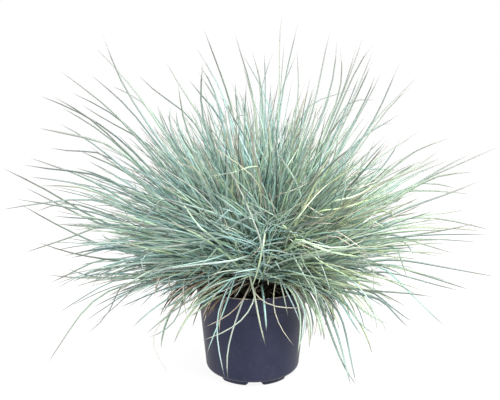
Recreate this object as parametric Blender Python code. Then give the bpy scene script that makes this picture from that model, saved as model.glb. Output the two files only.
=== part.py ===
# Potted blue fescue clump: a 13 cm nursery pot, the soil in it and a clump of fine blue grass.
# Units are metres and +Z is up. The origin is the centre of the pot's foot on the surface
# that it stands on, and -Y is the front.

import math

import bmesh
import bpy
from mathutils import Vector

# Pot
RIM_RADIUS = 0.065
POT_HEIGHT = 0.105
WALL = 0.0016
COLLAR_HEIGHT = 0.0175
COLLAR_STEP = 0.0007
LIP_ROUND = 0.0005
CORNER_RADIUS = 0.0542      # wall radius where the lower corner starts to round
CORNER_TOP = 0.012
CORNER_BOTTOM_RADIUS = 0.0472
FOOT_RADIUS = 0.0458
FOOT_HEIGHT = 0.0052
FOOT_WIDTH = 0.0026
FOOT_FLARE = 0.0006         # the foot's top edge stands out this far
FOOT_DROP = 0.0004          # and starts this far under the pot's base
BASE_THICKNESS = 0.002
POT_STEPS = 40
SOIL_STEPS = 32
CROWN_STEPS = 24
CORNER_STEPS = 5
INNER_CORNER_STEPS = 4
SOIL_CORNER_STEPS = 3
CROWN_RINGS = 5
NOTCH_COUNT = 6
NOTCH_TURN = math.radians(3)
NOTCH_TOP_WIDTH = 0.0127
NOTCH_BOTTOM_WIDTH = 0.0190
DRAIN_RADIUS = 0.004
DRAIN_CIRCLE = 0.034

# Soil and crown
GAP = 0.0003                # clear distance between pieces that rest on each other
SOIL_EDGE = 0.0965
SOIL_TOP = 0.0985
SOIL_LEVEL = 0.012          # width of the level soil around the crown
CROWN_CENTRE = (0.010, 0.006)
CROWN_RADIUS = 0.036
CROWN_HEIGHT = 0.010
CROWN_EDGE = 0.004          # height of the crown's side
CROWN_FLARE = 0.001         # its side stands out this far at the soil
CROWN_ROUND = 0.9           # how far round its top curves, 1 being to upright at the edge
ROOT_CLEARANCE = 0.002      # a leaning sheath's foot stays this far off the crown
INNER_SHARE = 0.74          # the packed tufts take this share of the crown's radius
HANGING_SHARE = 0.93
STRAW_SHARE = 0.97

# Tufts
TUFT_COUNT = 40
GOLDEN_ANGLE = math.pi * (3 - math.sqrt(5))
LOWEST_LEAN = math.radians(103)     # how far the outermost tufts lean from upright
FRONT_LIFT = 0.25           # the front ones lean this much less, so that the pot shows
FRONT_CURVE = 1.3           # how narrowly that is kept to the front
STEM_RADIUS = 0.0029
STEM_HEIGHT = 0.008
TUFT_BLADES = 6
BLADE_WIDTH = 0.003
BLADE_THICKNESS = 0.0013
TUFT_SPREAD = math.radians(9)       # how far a tuft's blades fan out around its middle
REACH_LEFT = 0.315
REACH_RIGHT = 0.295
REACH_FRONT = 0.270
REACH_BACK = 0.276
REACH_UP = 0.298
LOW_SHORTER = 0.12          # the lowest tufts are this share shorter
LOW_SLOPE = 2.5             # how fast that comes in as a tuft nears level
LAUNCH_LEAN = 0.62          # a blade leaves the crown at this share of its tuft's lean
ADDED_LEAN = 0.58           # and gains this share on its way to the tip
LEAN_CURVE = 0.6            # below 1, it gains most of that near the crown
FAN_SHARES = (0.55, 1.0)    # how far out of its tuft's middle a blade fans
LENGTH_SHARES = (0.86, 1.0)
LENGTH_TURN = 11            # keeps a blade's length apart from its fan
STATIONS = (0.0, 0.13, 0.40, 0.70, 1.0)
WIDTHS = (1.0, 0.95, 1.0, 0.75, 0.0)
PATH_STEPS = 24

# Outer tufts that arch over the rim: azimuth, lean and droop in degrees, length in metres
HANGING_BLADES = 4
HANGING_SPREAD = math.radians(7)
HANGING = (
    (-116, 88, 82, 0.125),
    (-90, 86, 72, 0.095),
    (-70, 86, 85, 0.110),
    (-47, 92, 80, 0.162),
    (-146, 92, 67, 0.130),
    (-155, 96, 16, 0.215),
    (5, 96, 54, 0.158),
    (78, 94, 74, 0.150),
    (112, 94, 72, 0.155),
)
# Straw tufts, low on the soil: azimuth, lean and droop in degrees, length in metres
STRAW_BLADES = 5
STRAW_SPREAD = math.radians(10)
STRAW = (
    (-134, 86, 42, 0.086),
    (175, 90, 30, 0.102),
    (-26, 86, 60, 0.088),
)


def material(name, color, roughness):
    # A plain Principled material.
    made = bpy.data.materials.new(name)
    made.use_nodes = True
    shader = made.node_tree.nodes["Principled BSDF"]
    shader.inputs["Base Color"].default_value = (*color, 1)
    shader.inputs["Roughness"].default_value = roughness
    made.diffuse_color = (*color, 1)
    return made


def add_object(name, bm, surface):
    # Turn a bmesh into a named object with one material.
    mesh = bpy.data.meshes.new(name)
    bm.to_mesh(mesh)
    bm.free()
    obj = bpy.data.objects.new(name, mesh)
    bpy.context.scene.collection.objects.link(obj)
    obj.data.materials.append(surface)
    return obj


def turned(name, profile, steps, surface):
    # Turn an (x, z) profile about Z. It starts and ends on the axis and runs down its outer side.
    bm = bmesh.new()
    corners = [bm.verts.new((x, 0, z)) for x, z in profile]
    for first, second in zip(corners, corners[1:]):
        bm.edges.new((first, second))
    obj = add_object(name, bm, surface)
    screw = obj.modifiers.new("turn", "SCREW")
    screw.steps = steps
    screw.render_steps = steps
    screw.use_merge_vertices = True
    screw.merge_threshold = 0.00005
    screw.use_smooth_shade = True
    return obj


def hide_cutter(obj):
    obj.hide_render = True
    obj.display_type = "WIRE"


def cut(target, cutter):
    # Subtract the cutter from the target.
    boolean = target.modifiers.new("cut " + cutter.name, "BOOLEAN")
    boolean.operation = "DIFFERENCE"
    boolean.solver = "EXACT"
    boolean.object = cutter
    hide_cutter(cutter)


def arc(centre_x, centre_z, half_x, half_z, start, end, count):
    # Points on an ellipse from one angle to another, in degrees.
    points = []
    for index in range(count + 1):
        angle = math.radians(start + (end - start) * index / count)
        points.append((centre_x + half_x * math.cos(angle), centre_z + half_z * math.sin(angle)))
    return points


def wall_radius(height):
    # Outer radius of the tapered wall, collar included, at a height.
    share = (height - CORNER_TOP) / (POT_HEIGHT - CORNER_TOP)
    return CORNER_RADIUS + (RIM_RADIUS - CORNER_RADIUS) * share


def pot_outside():
    # Outer profile from the lip down to the foot.
    collar_bottom = POT_HEIGHT - COLLAR_HEIGHT
    corner_depth = CORNER_TOP - FOOT_HEIGHT
    points = [
        (RIM_RADIUS - LIP_ROUND, POT_HEIGHT),
        (RIM_RADIUS, POT_HEIGHT - LIP_ROUND),
        (wall_radius(collar_bottom), collar_bottom),
        (wall_radius(collar_bottom) - COLLAR_STEP, collar_bottom - COLLAR_STEP),
    ]
    corner_width = CORNER_RADIUS - CORNER_BOTTOM_RADIUS
    middle = CORNER_BOTTOM_RADIUS
    points += arc(middle, CORNER_TOP, corner_width, corner_depth, 0, -90, CORNER_STEPS)
    points += [
        (FOOT_RADIUS + FOOT_FLARE, FOOT_HEIGHT - FOOT_DROP),
        (FOOT_RADIUS, 0),
    ]
    return points


def pot_inside():
    # Inner profile from the middle of the base plate out and up to the lip.
    floor = FOOT_HEIGHT + BASE_THICKNESS
    corner_width = CORNER_RADIUS - CORNER_BOTTOM_RADIUS
    corner_centre = CORNER_BOTTOM_RADIUS - WALL
    points = [(0, floor)]
    corner_depth = CORNER_TOP - floor
    points += arc(
        corner_centre, CORNER_TOP, corner_width, corner_depth, -90, 0, INNER_CORNER_STEPS)
    collar_bottom = POT_HEIGHT - COLLAR_HEIGHT
    points += [
        (wall_radius(collar_bottom) - COLLAR_STEP - WALL, collar_bottom - COLLAR_STEP),
        (wall_radius(collar_bottom) - WALL, collar_bottom),
        (RIM_RADIUS - WALL, POT_HEIGHT - LIP_ROUND),
        (RIM_RADIUS - WALL + LIP_ROUND, POT_HEIGHT),
    ]
    return points


def notch_cutter(angle):
    # A trapezoid block, wider at the floor, that crosses the foot ring at one angle.
    bm = bmesh.new()
    below = 0.001
    inner = FOOT_RADIUS - 2 * FOOT_WIDTH
    outer = FOOT_RADIUS + 2 * FOOT_WIDTH
    slope = (NOTCH_BOTTOM_WIDTH - NOTCH_TOP_WIDTH) / 2 / FOOT_HEIGHT
    low = NOTCH_BOTTOM_WIDTH / 2 + slope * below
    high = NOTCH_TOP_WIDTH / 2
    corners = [(-low, -below), (low, -below), (high, FOOT_HEIGHT), (-high, FOOT_HEIGHT)]
    face = bm.faces.new([bm.verts.new((inner, y, z)) for y, z in corners])
    moved = bmesh.ops.extrude_face_region(bm, geom=[face])["geom"]
    new_verts = [item for item in moved if isinstance(item, bmesh.types.BMVert)]
    bmesh.ops.translate(bm, verts=new_verts, vec=(outer - inner, 0, 0))
    bmesh.ops.recalc_face_normals(bm, faces=bm.faces)
    cutter = add_object("foot notch cutter", bm, bpy.data.materials["pot plastic"])
    cutter.rotation_euler.z = angle
    return cutter


def drain_cutter(angle):
    # A round punch through the base plate, behind one notch.
    bm = bmesh.new()
    bmesh.ops.create_cone(
        bm, cap_ends=True, segments=12, radius1=DRAIN_RADIUS, radius2=DRAIN_RADIUS,
        depth=4 * BASE_THICKNESS)
    cutter = add_object("drain hole cutter", bm, bpy.data.materials["pot plastic"])
    middle = FOOT_HEIGHT + BASE_THICKNESS / 2
    cutter.location = (DRAIN_CIRCLE * math.cos(angle), DRAIN_CIRCLE * math.sin(angle), middle)
    return cutter


def make_pot(surface):
    foot_inside = [
        (FOOT_RADIUS - FOOT_WIDTH, 0),
        (FOOT_RADIUS - FOOT_WIDTH, FOOT_HEIGHT),
        (0, FOOT_HEIGHT),
    ]
    pot = turned("pot", pot_inside() + pot_outside() + foot_inside, POT_STEPS, surface)
    for index in range(NOTCH_COUNT):
        angle = math.radians(-90) + NOTCH_TURN + index * math.tau / NOTCH_COUNT
        cut(pot, notch_cutter(angle))
        cut(pot, drain_cutter(angle))
    return pot


def make_soil(surface):
    # The soil follows the inside of the pot and domes slightly at its top.
    profile = [(0, SOIL_TOP), (CROWN_RADIUS + SOIL_LEVEL, SOIL_TOP)]
    slope = (RIM_RADIUS - CORNER_RADIUS) / (POT_HEIGHT - CORNER_TOP)
    profile.append((wall_radius(SOIL_EDGE) - WALL - 2 * GAP, SOIL_EDGE))
    collar_bottom = POT_HEIGHT - COLLAR_HEIGHT
    neck = collar_bottom - COLLAR_STEP
    inner_neck = wall_radius(collar_bottom) - COLLAR_STEP - WALL - 2 * GAP
    profile.append((inner_neck + slope * 2 * COLLAR_STEP, neck + 2 * COLLAR_STEP))
    profile.append((inner_neck, neck))
    floor = FOOT_HEIGHT + BASE_THICKNESS + GAP
    corner_width = CORNER_RADIUS - CORNER_BOTTOM_RADIUS
    corner_centre = CORNER_BOTTOM_RADIUS - WALL - 2 * GAP
    corner_depth = CORNER_TOP - floor
    profile += arc(
        corner_centre, CORNER_TOP, corner_width, corner_depth, 0, -90, SOIL_CORNER_STEPS)
    profile.append((0, floor))
    return turned("soil", profile, SOIL_STEPS, surface)


def dome_height(share):
    # Height of the crown's top above its rim at a share of its radius.
    rise = math.sqrt(1 - CROWN_ROUND * share ** 2) - math.sqrt(1 - CROWN_ROUND)
    return CROWN_HEIGHT * rise


def crown_top(share):
    return SOIL_TOP + GAP + CROWN_EDGE + dome_height(share)


def make_crown(surface):
    profile = []
    for index in range(CROWN_RINGS + 1):
        share = index / CROWN_RINGS
        profile.append((CROWN_RADIUS * share, crown_top(share)))
    profile.append((CROWN_RADIUS + CROWN_FLARE, SOIL_TOP + GAP))
    profile.append((0, SOIL_TOP + GAP))
    crown = turned("crown", profile, CROWN_STEPS, surface)
    crown.location = (*CROWN_CENTRE, 0)
    return crown


def lean_direction(lean, azimuth):
    # Unit vector that leans from upright towards an azimuth.
    side = math.sin(lean)
    return Vector((side * math.cos(azimuth), side * math.sin(azimuth), math.cos(lean)))


def reach(direction):
    # How far the clump's longest blades get in a direction, measured from the crown.
    sideways = REACH_LEFT if direction.x < 0 else REACH_RIGHT
    depth = REACH_FRONT if direction.y < 0 else REACH_BACK
    far = sideways * direction.x ** 2 + depth * direction.y ** 2 + REACH_UP * direction.z ** 2
    lowness = min(1.0, max(0.0, 1 - LOW_SLOPE * direction.z))
    return far * (1 - LOW_SHORTER * lowness)


def blade_path(start, lean, azimuth, length, droop):
    # Points at the stations along one arching blade.
    points = []
    place = start.copy()
    station = 0
    for step in range(PATH_STEPS + 1):
        share = step / PATH_STEPS
        if share >= STATIONS[station] - 0.5 / PATH_STEPS:
            points.append(place.copy())
            station += 1
        if station == len(STATIONS):
            break
        middle = (step + 0.5) / PATH_STEPS
        angle = lean * (LAUNCH_LEAN + ADDED_LEAN * middle ** LEAN_CURVE) + droop * middle
        place += lean_direction(angle, azimuth) * (length / PATH_STEPS)
    return points


def grow_blade(bm, face, path, across, outward):
    # Extrude one triangle along a path, tapering it to a point at the last station.
    for index in range(1, len(STATIONS)):
        face = bmesh.ops.extrude_discrete_faces(bm, faces=[face])["faces"][0]
        verts = list(face.verts)
        tangent = (path[index] - path[index - 1]).normalized()
        wide = (across - tangent * across.dot(tangent)).normalized()
        thick = tangent.cross(wide)
        if thick.dot(outward) < 0:
            thick = -thick
        half_width = BLADE_WIDTH * WIDTHS[index] / 2
        half_thickness = BLADE_THICKNESS * WIDTHS[index] / 2
        # the first corner is the keel, the other two are the blade's edges
        ranked = sorted(verts, key=lambda vert: vert.co.dot(across))
        ranked[0].co = path[index] - wide * half_width + thick * half_thickness
        ranked[2].co = path[index] + wide * half_width + thick * half_thickness
        ranked[1].co = path[index] - thick * half_thickness
    bmesh.ops.pointmerge(bm, verts=list(face.verts), merge_co=path[-1])


def vary(index, blade, low, high):
    # A fixed variation between low and high for one blade of one tuft.
    share = math.modf(abs(math.sin(index * 12.9898 + blade * 78.233) * 43758.5453))[0]
    return low + (high - low) * share


def make_tuft(name, index, root, shape, blades, spread, surface):
    # One closed body: a short sheath whose top splits into blades that fan out.
    # Its shape is the lean, the azimuth, the length and the droop added towards the tip.
    lean, azimuth, length, droop = shape
    axis = lean_direction(lean * LAUNCH_LEAN, azimuth)
    outward = lean_direction(lean * LAUNCH_LEAN + math.pi / 2, azimuth)
    sideways = axis.cross(outward)
    bm = bmesh.new()
    turn = math.tau / blades
    corners = []
    for corner in range(blades):
        angle = turn * (corner - 0.5)
        offset = outward * math.cos(angle) + sideways * math.sin(angle)
        corners.append(bm.verts.new(root + offset * STEM_RADIUS))
    bottom = bm.faces.new(corners)
    bm.normal_update()
    if bottom.normal.dot(axis) > 0:
        bottom.normal_flip()
    moved = bmesh.ops.extrude_face_region(bm, geom=[bottom], use_keep_orig=True)["geom"]
    top = next(item for item in moved if isinstance(item, bmesh.types.BMFace))
    top_verts = list(top.verts)
    bmesh.ops.translate(bm, verts=top_verts, vec=axis * STEM_HEIGHT)
    wedges = bmesh.ops.poke(bm, faces=[top])["faces"]
    tuft_way = lean_direction(lean, azimuth)
    lean_way = lean_direction(lean + math.pi / 2, azimuth)
    side_way = tuft_way.cross(lean_way)
    stem_top = root + axis * STEM_HEIGHT
    for blade, wedge in enumerate(wedges):
        middle = wedge.calc_center_median()
        spoke = (middle - stem_top).normalized()
        fan = spread * vary(index, blade, *FAN_SHARES)
        way = tuft_way + (lean_way * spoke.dot(outward) + side_way * spoke.dot(sideways)) * fan
        way.normalize()
        blade_lean = math.acos(max(-1.0, min(1.0, way.z)))
        blade_azimuth = math.atan2(way.y, way.x)
        blade_length = length * vary(index, blade + LENGTH_TURN, *LENGTH_SHARES)
        path = blade_path(middle, blade_lean, blade_azimuth, blade_length, droop)
        grow_blade(bm, wedge, path, axis.cross(spoke).normalized(), spoke)
    bmesh.ops.recalc_face_normals(bm, faces=bm.faces)
    return add_object(name, bm, surface)


def crown_point(share, azimuth):
    # A place a hair above the crown's top.
    radius = CROWN_RADIUS * share
    x = CROWN_CENTRE[0] + radius * math.cos(azimuth)
    y = CROWN_CENTRE[1] + radius * math.sin(azimuth)
    return Vector((x, y, crown_top(share) + ROOT_CLEARANCE))


def make_green_tufts(surface):
    # Tufts packed over the crown like seeds in a sunflower, each leaning out from the middle.
    for index in range(TUFT_COUNT):
        share = math.sqrt((index + 0.5) / TUFT_COUNT)
        azimuth = math.fmod(index * GOLDEN_ANGLE, math.tau)
        frontness = max(0.0, -math.sin(azimuth)) ** FRONT_CURVE
        lean = 2 * math.asin(share * math.sin(LOWEST_LEAN / 2)) * (1 - FRONT_LIFT * frontness)
        length = reach(lean_direction(lean, azimuth))
        root = crown_point(share * INNER_SHARE, azimuth)
        shape = (lean, azimuth, length, 0)
        name = "tuft_%02d" % (index + 1)
        make_tuft(name, index, root, shape, TUFT_BLADES, TUFT_SPREAD, surface)


def make_outer_tufts(kind, rows, share, blades, spread, surface):
    # Tufts from a list, rooted on the crown outside the packed ones.
    for index, (azimuth, lean, droop, length) in enumerate(rows):
        root = crown_point(share, math.radians(azimuth))
        shape = (math.radians(lean), math.radians(azimuth), length, math.radians(droop))
        name = "%s_tuft_%d" % (kind, index + 1)
        make_tuft(name, TUFT_COUNT + index, root, shape, blades, spread, surface)


bpy.context.scene.unit_settings.system = "METRIC"
for old in list(bpy.data.objects):
    bpy.data.objects.remove(old, do_unlink=True)

plastic = material("pot plastic", (0.050, 0.053, 0.084), 0.45)
earth = material("potting soil", (0.030, 0.022, 0.016), 0.95)
thatch = material("crown thatch", (0.200, 0.150, 0.080), 0.85)
blue_leaf = material("blue leaf", (0.330, 0.430, 0.370), 0.55)
straw_leaf = material("straw leaf", (0.520, 0.400, 0.210), 0.70)

make_pot(plastic)
make_soil(earth)
make_crown(thatch)
make_green_tufts(blue_leaf)
make_outer_tufts("hanging", HANGING, HANGING_SHARE, HANGING_BLADES, HANGING_SPREAD, blue_leaf)
make_outer_tufts("straw", STRAW, STRAW_SHARE, STRAW_BLADES, STRAW_SPREAD, straw_leaf)
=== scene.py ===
# Potted blue fescue clump: the looks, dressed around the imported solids.
import math

import bpy
import numpy as np
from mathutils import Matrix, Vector
from mathutils.bvhtree import BVHTree


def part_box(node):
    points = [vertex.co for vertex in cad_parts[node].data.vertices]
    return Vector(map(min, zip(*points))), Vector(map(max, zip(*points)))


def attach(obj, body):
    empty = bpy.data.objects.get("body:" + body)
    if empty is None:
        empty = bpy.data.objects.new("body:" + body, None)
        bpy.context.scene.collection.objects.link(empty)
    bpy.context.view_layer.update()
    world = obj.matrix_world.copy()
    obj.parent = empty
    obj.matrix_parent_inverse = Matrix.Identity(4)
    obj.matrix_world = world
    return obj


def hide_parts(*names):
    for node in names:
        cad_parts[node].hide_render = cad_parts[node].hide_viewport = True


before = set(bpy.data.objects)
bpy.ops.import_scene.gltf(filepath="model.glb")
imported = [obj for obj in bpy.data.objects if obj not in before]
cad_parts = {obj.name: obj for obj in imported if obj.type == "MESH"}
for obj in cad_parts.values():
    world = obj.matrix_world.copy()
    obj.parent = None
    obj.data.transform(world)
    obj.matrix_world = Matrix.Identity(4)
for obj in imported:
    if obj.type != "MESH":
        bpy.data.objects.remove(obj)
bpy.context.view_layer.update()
potLow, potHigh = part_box("pot")
soilLow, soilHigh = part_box("soil")
crownLow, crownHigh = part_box("crown")


def clearSelection():
    # operators act on all that is selected, and the loaded nodes start selected
    if bpy.context.object and bpy.context.object.mode != "OBJECT":
        bpy.ops.object.mode_set(mode="OBJECT")
    bpy.ops.object.select_all(action="DESELECT")


def makeActive(obj):
    clearSelection()
    obj.select_set(True)
    bpy.context.view_layer.objects.active = obj


def applyPlace(obj):
    makeActive(obj)
    bpy.ops.object.transform_apply(location=True, rotation=True, scale=True)


def applyModifiers(obj):
    makeActive(obj)
    for modifier in list(obj.modifiers):
        bpy.ops.object.modifier_apply(modifier=modifier.name)


def cleanUp(obj, distance=0.00002):
    # merge doubles, then point the faces outwards
    makeActive(obj)
    bpy.ops.object.mode_set(mode="EDIT")
    bpy.ops.mesh.select_all(action="SELECT")
    bpy.ops.mesh.remove_doubles(threshold=distance)
    bpy.ops.mesh.normals_make_consistent(inside=False)
    bpy.ops.object.mode_set(mode="OBJECT")


def finishPiece(obj, material, node):
    obj.data.materials.clear()
    obj.data.materials.append(material)
    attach(obj, "root")
    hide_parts(node)


# the finishes read the object's own place or its blades' attributes


def newMaterial(name, roughness):
    made = bpy.data.materials.new(name)
    made.use_nodes = True
    shader = made.node_tree.nodes["Principled BSDF"]
    shader.inputs["Roughness"].default_value = roughness
    return made, made.node_tree, shader


def addNode(tree, kind, **settings):
    node = tree.nodes.new(kind)
    for key, value in settings.items():
        setattr(node, key, value)
    return node


def connect(tree, value, socket):
    # a socket is linked, a plain value is set
    if isinstance(value, bpy.types.NodeSocket):
        tree.links.new(value, socket)
    elif isinstance(value, tuple):
        socket.default_value = (*value, 1)
    else:
        socket.default_value = value


def attribute(tree, name):
    return addNode(tree, "ShaderNodeAttribute", attribute_name=name).outputs["Fac"]


def objectPlace(tree):
    return addNode(tree, "ShaderNodeTexCoord").outputs["Object"]


def ramp(tree, factor, stops):
    node = addNode(tree, "ShaderNodeValToRGB")
    elements = node.color_ramp.elements
    while len(elements) < len(stops):
        elements.new(0.5)
    for element, (place, color) in zip(elements, stops):
        element.position = place
        element.color = (*color, 1)
    tree.links.new(factor, node.inputs["Fac"])
    return node.outputs["Color"]


def mixColor(tree, factor, first, second, blend="MIX"):
    node = addNode(tree, "ShaderNodeMix", data_type="RGBA", blend_type=blend)
    for value, socket in ((factor, node.inputs[0]), (first, node.inputs[6]), (second, node.inputs[7])):
        connect(tree, value, socket)
    return node.outputs[2]


def calculate(tree, operation, *values):
    node = addNode(tree, "ShaderNodeMath", operation=operation)
    for value, socket in zip(values, node.inputs):
        connect(tree, value, socket)
    return node.outputs[0]


def fade(tree, value, low, high):
    # 0 up to low, 1 from high, smooth between them
    node = addNode(tree, "ShaderNodeMapRange", interpolation_type="SMOOTHSTEP")
    node.inputs["From Min"].default_value = low
    node.inputs["From Max"].default_value = high
    tree.links.new(value, node.inputs["Value"])
    return node.outputs["Result"]


def noise(tree, place, scale, detail=3.0, rough=0.55):
    node = addNode(tree, "ShaderNodeTexNoise")
    node.inputs["Scale"].default_value = scale
    node.inputs["Detail"].default_value = detail
    node.inputs["Roughness"].default_value = rough
    tree.links.new(place, node.inputs["Vector"])
    return node.outputs["Fac"]


def grey(tree, value):
    node = addNode(tree, "ShaderNodeCombineColor")
    for socket in node.inputs[:3]:
        tree.links.new(value, socket)
    return node.outputs[0]


def addBump(tree, shader, height, strength, distance):
    node = addNode(tree, "ShaderNodeBump")
    node.inputs["Strength"].default_value = strength
    node.inputs["Distance"].default_value = distance
    tree.links.new(height, node.inputs["Height"])
    tree.links.new(node.outputs["Normal"], shader.inputs["Normal"])


def bladePlace(tree, across, along, own):
    # a place of its own on every blade, stretched so that a pattern runs along it
    node = addNode(tree, "ShaderNodeCombineXYZ")
    tree.links.new(calculate(tree, "MULTIPLY", attribute(tree, "across"), across), node.inputs[0])
    tree.links.new(calculate(tree, "MULTIPLY", attribute(tree, "along"), along), node.inputs[1])
    tree.links.new(calculate(tree, "MULTIPLY", attribute(tree, "own"), own), node.inputs[2])
    return node.outputs[0]


leafLook = {
    "tones": [
        (0.00, (0.064, 0.110, 0.099)),
        (0.20, (0.156, 0.262, 0.238)),
        (0.40, (0.298, 0.474, 0.412)),
        (0.58, (0.443, 0.610, 0.517)),
        (0.69, (0.440, 0.525, 0.488)),
        (0.80, (0.312, 0.450, 0.285)),
        (0.91, (0.479, 0.624, 0.414)),
        (1.00, (0.753, 0.723, 0.549)),
    ],
    # painted shade near the crown: the blade bases are darkened to this olive where the leaves shade them
    "sheath": (0.082, 0.108, 0.052),
    "dryTones": [
        (0.30, (0.180, 0.125, 0.085)),
        (0.50, (0.430, 0.368, 0.302)),
        (0.70, (0.615, 0.560, 0.495)),
    ],
    "outer": (0.182, 0.179, 0.157),     # painted shade: the outermost ends darken to a dull grey
    "outerShare": 0.76,
    # the tips: partly their own browning, partly painted shade
    "tip": (0.150, 0.135, 0.122),
    "tints": [              # blades differ from bluish to yellowish
        (0.0, (0.83, 0.98, 1.10)),
        (0.5, (0.96, 1.0, 1.01)),
        (1.0, (1.10, 1.02, 0.84)),
    ],
    "sheathEnds": (0.04, 0.26),     # shares of the clump's reach between which the painted shade near the crown fades out
    "sheathShare": 0.86,
    "tipFrom": 0.80,                # share of the blade's length
    "tipShare": 0.65,
    "outerEnds": (0.50, 0.92),
    "streaks": (5.0, 3.0, 60.0),    # how fast they change across a blade, along it and from blade to blade
    "patches": (0.3, 4.0, 90.0),
    "toneShift": (0.24, -0.12),     # a patch's pattern times the first, plus the second
    "streakShade": (0.7, 0.65),
    "roughness": 0.48,
    "roughVary": 0.3,
    "specular": 0.4,
    "bump": (0.5, 0.0003),          # strength and height
}


def leafMaterial():
    look = leafLook
    made, tree, shader = newMaterial("blue fescue leaf", look["roughness"])
    along = attribute(tree, "along")
    far = attribute(tree, "far")
    streaks = noise(tree, bladePlace(tree, *look["streaks"]), 1.0, 3.0)
    patches = noise(tree, bladePlace(tree, *look["patches"]), 1.0, 2.0)
    toneShift = calculate(tree, "MULTIPLY_ADD", patches, *look["toneShift"])
    color = ramp(tree, calculate(tree, "ADD", attribute(tree, "tone"), toneShift), look["tones"])
    color = mixColor(tree, 1.0, color, ramp(tree, attribute(tree, "own"), look["tints"]), "MULTIPLY")
    # painted shade: blades darken towards the crown's heart
    baseShadeNear = calculate(tree, "SUBTRACT", 1.0, fade(tree, far, *look["sheathEnds"]))
    color = mixColor(tree, calculate(tree, "MULTIPLY", baseShadeNear, look["sheathShare"]), color, look["sheath"])
    # the tips darken to grey-brown: partly their own browning, partly painted shade
    tip = calculate(tree, "MULTIPLY", fade(tree, along, look["tipFrom"], 1.0), look["tipShare"])
    color = mixColor(tree, tip, color, look["tip"])
    color = mixColor(tree, attribute(tree, "dry"), color, ramp(tree, patches, look["dryTones"]))
    # painted shade: the blades' outer parts are greyed and darkened
    outer = calculate(tree, "MULTIPLY", fade(tree, far, *look["outerEnds"]), look["outerShare"])
    color = mixColor(tree, outer, color, look["outer"])
    shade = calculate(tree, "MULTIPLY_ADD", streaks, *look["streakShade"])
    color = mixColor(tree, 1.0, color, grey(tree, shade), "MULTIPLY")
    tree.links.new(color, shader.inputs["Base Color"])
    smoothest = look["roughness"] - look["roughVary"] / 2
    roughness = calculate(tree, "MULTIPLY_ADD", patches, look["roughVary"], smoothest)
    tree.links.new(roughness, shader.inputs["Roughness"])
    shader.inputs["Specular IOR Level"].default_value = look["specular"]
    addBump(tree, shader, streaks, *look["bump"])
    return made


strawLook = {
    # the near-black end of these tones, and the shift towards it, is painted shade among the dead leaves; the
    # browns and tans are their own
    "tones": [
        (0.00, (0.014, 0.010, 0.008)),
        (0.25, (0.085, 0.060, 0.042)),
        (0.42, (0.270, 0.205, 0.140)),
        (0.58, (0.520, 0.425, 0.300)),
        (0.75, (0.740, 0.660, 0.520)),
    ],
    "patches": (1.0, 3.0, 80.0),    # how fast they change across a blade, along it and from blade to blade
    "streaks": (6.0, 2.0, 40.0),
    "toneShift": (0.62, -0.44),
    "streakShade": (0.8, 0.6),
    "roughness": 0.75,
    "specular": 0.25,
    "bump": (0.6, 0.0003),
}


def strawMaterial(name, brightness):
    look = strawLook
    made, tree, shader = newMaterial(name, look["roughness"])
    patches = noise(tree, bladePlace(tree, *look["patches"]), 1.0, 3.0)
    streaks = noise(tree, bladePlace(tree, *look["streaks"]), 1.0, 3.0)
    lighter = calculate(tree, "MULTIPLY_ADD", attribute(tree, "tone"), *look["toneShift"])
    color = ramp(tree, calculate(tree, "ADD", patches, lighter), look["tones"])
    shade = calculate(tree, "MULTIPLY_ADD", streaks, *[part * brightness for part in look["streakShade"]])
    color = mixColor(tree, 1.0, color, grey(tree, shade), "MULTIPLY")
    tree.links.new(color, shader.inputs["Base Color"])
    shader.inputs["Specular IOR Level"].default_value = look["specular"]
    addBump(tree, shader, streaks, *look["bump"])
    return made


# the crown mound's dark browns, darkened nearly to black as painted shade under the leaves
shadedMoundLook = {
    "tones": [
        (0.35, (0.0070, 0.0055, 0.0042)),
        (0.55, (0.0300, 0.0220, 0.0150)),
        (0.72, (0.1300, 0.0950, 0.0600)),
    ],
    "lumps": (420.0, 5.0, 0.7),     # scale, detail and roughness of the pattern
    "roughness": 0.9,
    "specular": 0.2,
    "bump": (0.8, 0.0010),
}
soilLook = {
    "tones": [
        (0.32, (0.0045, 0.0038, 0.0032)),
        (0.52, (0.0160, 0.0120, 0.0090)),
        (0.75, (0.0600, 0.0430, 0.0300)),
    ],
    "lumps": (330.0, 6.0, 0.7),
    "roughness": 0.95,
    "specular": 0.2,
    "bump": (0.9, 0.0012),
}


def earthMaterial(name, look):
    made, tree, shader = newMaterial(name, look["roughness"])
    lumps = noise(tree, objectPlace(tree), *look["lumps"])
    tree.links.new(ramp(tree, lumps, look["tones"]), shader.inputs["Base Color"])
    shader.inputs["Specular IOR Level"].default_value = look["specular"]
    addBump(tree, shader, lumps, *look["bump"])
    return made


potLook = {
    "dark": (0.0142, 0.0163, 0.0350),
    "light": (0.0235, 0.0258, 0.0510),
    # the dust colour, also used for the painted sheen on the turned-away sides
    "dust": (0.125, 0.108, 0.100),
    "scuffAndHighlight": (0.420, 0.360, 0.290),
    # painted shadow: a dark line under the collar's step
    "collarShadow": (0.0030, 0.0034, 0.0080),
    "collarShadowBelow": 0.0175,          # the collar's step, below the lip
    "collarShadowFrom": (-0.0024, -0.0010),       # heights over that step where the painted shadow line fades in and out
    "collarShadowTo": (-0.0003, 0.0004),
    "collarShadowShare": 0.7,
    "dustEnds": (0.52, 0.78),       # where the dust's pattern starts and is full
    "dustLow": 0.18,                # more dust near the floor
    "dustAll": 0.10,
    "lowEnds": (0.004, 0.045),      # heights
    "edgeSheen": 0.17,               # painted sheen: the round sides turn towards the dust colour where they turn away from the view
    "edgeSheenPower": 3.0,
    "lipEnds": (0.0009, 0.0002),    # the lip's top gets a pale tan line, partly scuffing and partly a painted highlight
    "scuffAndHighlightEnds": (0.36, 0.56),
    "roughness": (0.30, 0.28),      # the dust's pattern times the first, plus the second
    "specular": 0.16,
    "bump": (0.15, 0.0002),
}


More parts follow.
